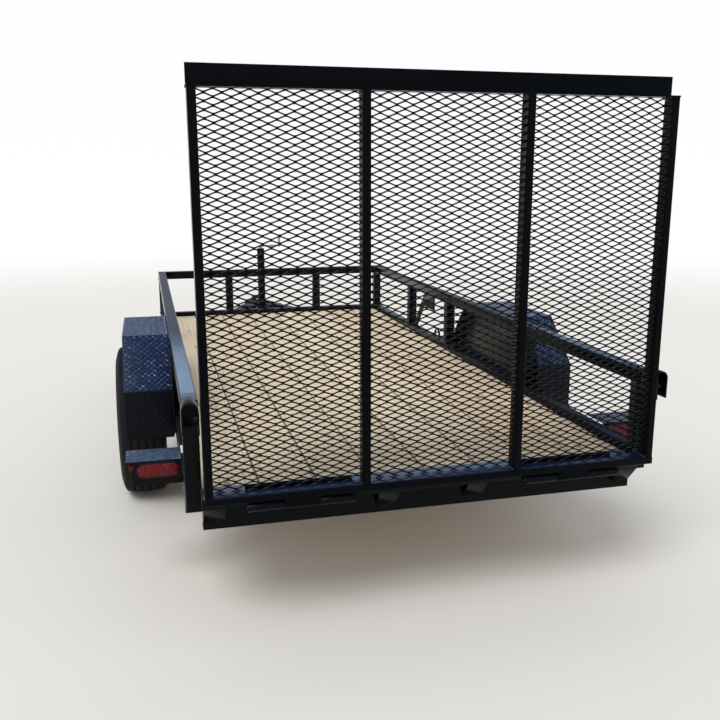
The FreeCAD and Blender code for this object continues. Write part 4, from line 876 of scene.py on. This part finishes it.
def weld_lines():
    """Every bead on the chassis as start, end and outward direction."""
    for box in post_boxes():
        yield from foot_beads(box)
        yield from foot_beads(box, top=True)
    below, above = 0.012, 0.022
    ledge_low, ledge_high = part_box("rear_ledge")
    for side, sign in SIDES:
        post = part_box(f"rear_post_{side}")
        yield from foot_beads(post, top=True)
        yield from fender_stitches(side, sign)
        # up the rear post's inner corner, where the ledge's end is welded on
        x, y = sign * ledge_high[0], post[0][1]
        yield (x, y, ledge_low[2] - below), (x, y, ledge_high[2] + above), (-sign * 0.5, -1.0, 0.0)


def gate_weld_lines():
    """Beads at the ends of the gate's uprights, apart from the rear faces, which are ground flush."""
    low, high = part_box("gate_frame")
    for share in GATE_SHARES:
        x = share * (high[0] - GATE_FACE / 2)
        box = (x - GATE_FACE / 2, low[1], GATE_SILL), (x + GATE_FACE / 2, low[1] + GATE_DEPTH, GATE_HEAD)
        for line in (*foot_beads(box), *foot_beads(box, top=True)):
            if line[2][1] >= 0:
                yield line


# Operators

class TRAILER_OT_paint(bpy.types.Operator):
    """Give the frame's own pieces their finishes"""
    bl_idname = "trailer.paint"
    bl_label = "Finish the frame"

    def execute(self, context):
        keys = {"black_paint": "enamel", "tread_plate": "plate", "pine": "pine", "tyre": "rubber",
                "silver_paint": "silver", "bare_steel": "steel", "zinc": "zinc", "red_lens": "lens"}
        for row in frame["record"]["subparts"]:
            repaint(keys[row["material_slot"]], row["node"])
        repaint("low", "side_rail_left", "side_rail_right", "front_header", "rear_beam", "ledge_gussets",
                "gate_latches", "spare_bracket")
        repaint("gate", "gate_frame")
        return {"FINISHED"}


class TRAILER_OT_edges(bpy.types.Operator):
    """Round the edges of the frame's tubes, angles and plates"""
    bl_idname = "trailer.edges"
    bl_label = "Rounded edges"

    def execute(self, context):
        for names, radius in ROUNDED:
            for node in names:
                rounded_copy(node, radius)
        return {"FINISHED"}


class TRAILER_OT_gate(bpy.types.Operator):
    """Build the gate's expanded mesh and its weld beads"""
    bl_idname = "trailer.gate"
    bl_label = "Gate mesh"

    def execute(self, context):
        piece("gate_expanded_mesh", expanded_mesh(), "gate", "mesh", smooth=False,
              replaces=["gate_mesh"])
        piece("gate_weld_beads", bead_skin(gate_weld_lines()), "gate", "weld")
        return {"FINISHED"}


class TRAILER_OT_boards(bpy.types.Operator):
    """Build the deck's boards"""
    bl_idname = "trailer.boards"
    bl_label = "Deck boards"

    def execute(self, context):
        piece("pine_boards", boards_skin(), "chassis", "pine", replaces=["deck_boards"])
        return {"FINISHED"}


class TRAILER_OT_plate(bpy.types.Operator):
    """Raise the lugs of the tread plate on fenders and lamp boxes"""
    bl_idname = "trailer.plate"
    bl_label = "Tread plate lugs"

    def execute(self, context):
        for side, _ in SIDES:
            piece(f"tread_lugs_{side}", lugs_skin(side, False), "chassis", "lugs")
            piece(f"upright_lugs_{side}", lugs_skin(side, True), "chassis", "plate")
        return {"FINISHED"}


class TRAILER_OT_wheels(bpy.types.Operator):
    """Build both tyres and the wheel nuts"""
    bl_idname = "trailer.wheels"
    bl_label = "Wheels"

    def execute(self, context):
        for side, sign in SIDES:
            piece(f"treaded_tyre_{side}", tyre_skin(side), f"wheel_{side}", "rubber", replaces=[f"tyre_{side}"])
            piece(f"wheel_nuts_{side}", wheel_nuts_skin(side, sign), f"wheel_{side}", "zinc")
        return {"FINISHED"}


class TRAILER_OT_lamps(bpy.types.Operator):
    """Build the tail lamps' lenses and rubber rings"""
    bl_idname = "trailer.lamps"
    bl_label = "Tail lamps"

    def execute(self, context):
        for side, _ in SIDES:
            piece(f"lamp_lens_{side}", lens_skin(side), "chassis", "lens", replaces=[f"tail_lamp_{side}"])
            piece(f"lamp_grommet_{side}", grommet_skin(side), "chassis", "rubber")
        return {"FINISHED"}


class TRAILER_OT_rings(bpy.types.Operator):
    """Bend the round tie-down rods"""
    bl_idname = "trailer.rings"
    bl_label = "Tie-down rods"

    def execute(self, context):
        piece("tie_down_rods", tie_down_skin(), "chassis", "enamel", replaces=["tie_downs"])
        return {"FINISHED"}


class TRAILER_OT_welds(bpy.types.Operator):
    """Lay the weld beads of posts and fenders"""
    bl_idname = "trailer.welds"
    bl_label = "Weld beads"

    def execute(self, context):
        piece("chassis_weld_beads", bead_skin(weld_lines()), "chassis", "weld")
        return {"FINISHED"}


class TRAILER_OT_label(bpy.types.Operator):
    """Stick the blank label on the left rail"""
    bl_idname = "trailer.label"
    bl_label = "Blank label"

    def execute(self, context):
        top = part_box("side_rail_left")[1][2]
        width, length, corner, film = 0.041, 0.088, 0.004, 0.0004
        x, y = -0.7885, ahead(529.0)
        section = board_section(width, length, corner)
        sheets = [np.stack([x + section[:, 0], y + section[:, 1], np.full(len(section), top + height)], axis=1)
                  for height in (0.0, film)]
        piece("blank_label", swept(np.array(sheets)[None]), "chassis", "label")
        return {"FINISHED"}


class TRAILER_OT_stage(bpy.types.Operator):
    """Set the pale floor, the soft light and the camera"""
    bl_idname = "trailer.stage"
    bl_label = "Studio"

    def execute(self, context):
        studio_floor()
        studio_light()
        photo_camera()
        return {"FINISHED"}


def pale_rays(tree):
    """1 for rays from the camera and for mirror and glass rays, which all see the pale background."""
    light = add(tree, "ShaderNodeLightPath").outputs
    first = maths(tree, "MAXIMUM", light["Is Camera Ray"], light["Is Glossy Ray"])
    return maths(tree, "MAXIMUM", first, light["Is Transmission Ray"])


def studio_floor():
    """A round floor whose far part turns into the white background."""
    rings, around = np.array([0.0, 3.0, 6.0, 12.0, 30.0, 80.0]), 64
    turn = angles(around)
    points = np.stack([rings[:, None] * np.cos(turn), rings[:, None] * np.sin(turn),
                       np.zeros((len(rings), around))], axis=-1).reshape(-1, 3)
    quads = lattice(len(rings), around, wrap_columns=True)
    mesh = bpy.data.meshes.new("studio_floor")
    mesh.from_pydata(points.tolist(), [], quads.tolist())
    mesh.validate()
    floor = in_scene("studio_floor", mesh)
    material = bpy.data.materials.new("pale studio floor")
    tree = emptied(material)
    cloth = add(tree, "ShaderNodeBsdfDiffuse", {"Color": (*look().floor_colour, 1.0)})
    glow = add(tree, "ShaderNodeEmission", {"Color": linear("#FFFFFF"), "Strength": 1.0})
    place = add(tree, "ShaderNodeTexCoord").outputs["Object"]
    reach = add(tree, "ShaderNodeVectorMath", {0: place}, operation="LENGTH").outputs["Value"]
    fade_from, fade_to = 4.5, 12.0
    far = add(tree, "ShaderNodeMapRange", {"Value": reach, "From Min": fade_from, "From Max": fade_to},
              interpolation_type="SMOOTHSTEP").outputs["Result"]
    seen = maths(tree, "MULTIPLY", far, pale_rays(tree))
    mixed = add(tree, "ShaderNodeMixShader", {0: seen, 1: cloth.outputs[0], 2: glow.outputs[0]})
    add(tree, "ShaderNodeOutputMaterial", {"Surface": mixed.outputs[0]})
    mesh.materials.append(material)


def studio_light():
    """White to pale blue surroundings for eye and gloss, a plain level for matt surfaces, and one broad soft key."""
    world = bpy.data.worlds.new("pale studio")
    bpy.context.scene.world = world
    tree = emptied(world)
    way = add(tree, "ShaderNodeTexCoord").outputs["Generated"]
    up = add(tree, "ShaderNodeSeparateXYZ", {"Vector": way}).outputs["Z"]
    sky = ramp(tree, up, (0.0, "#FFFFFF"), (0.2, "#FCFDFF"), (0.4, "#C4D9F5"), (1.0, "#86ACE2"))
    shown = add(tree, "ShaderNodeBackground", {"Color": sky, "Strength": 1.0})
    plain = add(tree, "ShaderNodeBackground", {"Color": linear("#FFFFFF"), "Strength": 0.7})
    mixed = add(tree, "ShaderNodeMixShader", {0: pale_rays(tree), 1: plain.outputs[0], 2: shown.outputs[0]})
    add(tree, "ShaderNodeOutputWorld", {"Surface": mixed.outputs[0]})
    key = bpy.data.lights.new("soft_key", "SUN")
    key.energy, key.angle = 1.5, math.radians(28)
    lamp = in_scene("soft_key", key)
    lamp.rotation_euler = Vector((-0.45, -0.55, 1.0)).to_track_quat("Z", "Y").to_euler()


def photo_camera():
    """The photograph's camera: eye height 1.455 m, turned 14.5 degrees right of the trailer's axis, 12.7 down."""
    data = bpy.data.cameras.new("photo_camera")
    data.lens, data.sensor_width, data.sensor_fit = 41.302, 36.0, "HORIZONTAL"
    data.clip_start, data.clip_end = 0.05, 300.0
    yaw, pitch, roll = (math.radians(value) for value in (14.466, 12.668, 0.12))
    forward = Vector((math.sin(yaw) * math.cos(pitch), math.cos(yaw) * math.cos(pitch), -math.sin(pitch)))
    right = Vector((math.cos(yaw), -math.sin(yaw), 0.0))
    down = forward.cross(right)
    turned = math.cos(roll) * right + math.sin(roll) * down
    upward = math.sin(roll) * right - math.cos(roll) * down
    camera = in_scene("photo_camera", data)
    axes = Matrix((turned, upward, -forward)).transposed()
    camera.matrix_world = Matrix.Translation((-0.8899, -4.6930, 1.4553)) @ axes.to_4x4()
    bpy.context.scene.camera = camera
    bpy.context.scene.view_settings.view_transform = "Standard"


OPERATORS = (TRAILER_OT_paint, TRAILER_OT_edges, TRAILER_OT_gate, TRAILER_OT_boards, TRAILER_OT_plate,
             TRAILER_OT_wheels, TRAILER_OT_lamps, TRAILER_OT_rings, TRAILER_OT_welds, TRAILER_OT_label,
             TRAILER_OT_stage)


class TRAILER_PT_panel(bpy.types.Panel):
    """Sidebar panel that lists the trailer's pieces"""
    bl_idname = "TRAILER_PT_panel"
    bl_label = "Utility trailer"
    bl_space_type = "VIEW_3D"
    bl_region_type = "UI"
    bl_category = "Trailer"

    def draw(self, context):
        for operator in OPERATORS:
            self.layout.operator(operator.bl_idname)
        for name in TrailerLook.__annotations__:
            self.layout.prop(context.scene.trailer_look, name)


CLASSES = (TrailerLook, *OPERATORS, TRAILER_PT_panel)


def register():
    for kind in CLASSES:
        bpy.utils.register_class(kind)
    bpy.types.Scene.trailer_look = bpy.props.PointerProperty(type=TrailerLook)


def unregister():
    del bpy.types.Scene.trailer_look
    for kind in reversed(CLASSES):
        bpy.utils.unregister_class(kind)


def main():
    register()
    for operator in OPERATORS:
        group, name = operator.bl_idname.split(".")
        result = getattr(getattr(bpy.ops, group), name)()
        if result != {"FINISHED"}:
            raise RuntimeError(f"{operator.bl_label} did not finish")


if __name__ == "__main__":
    main()
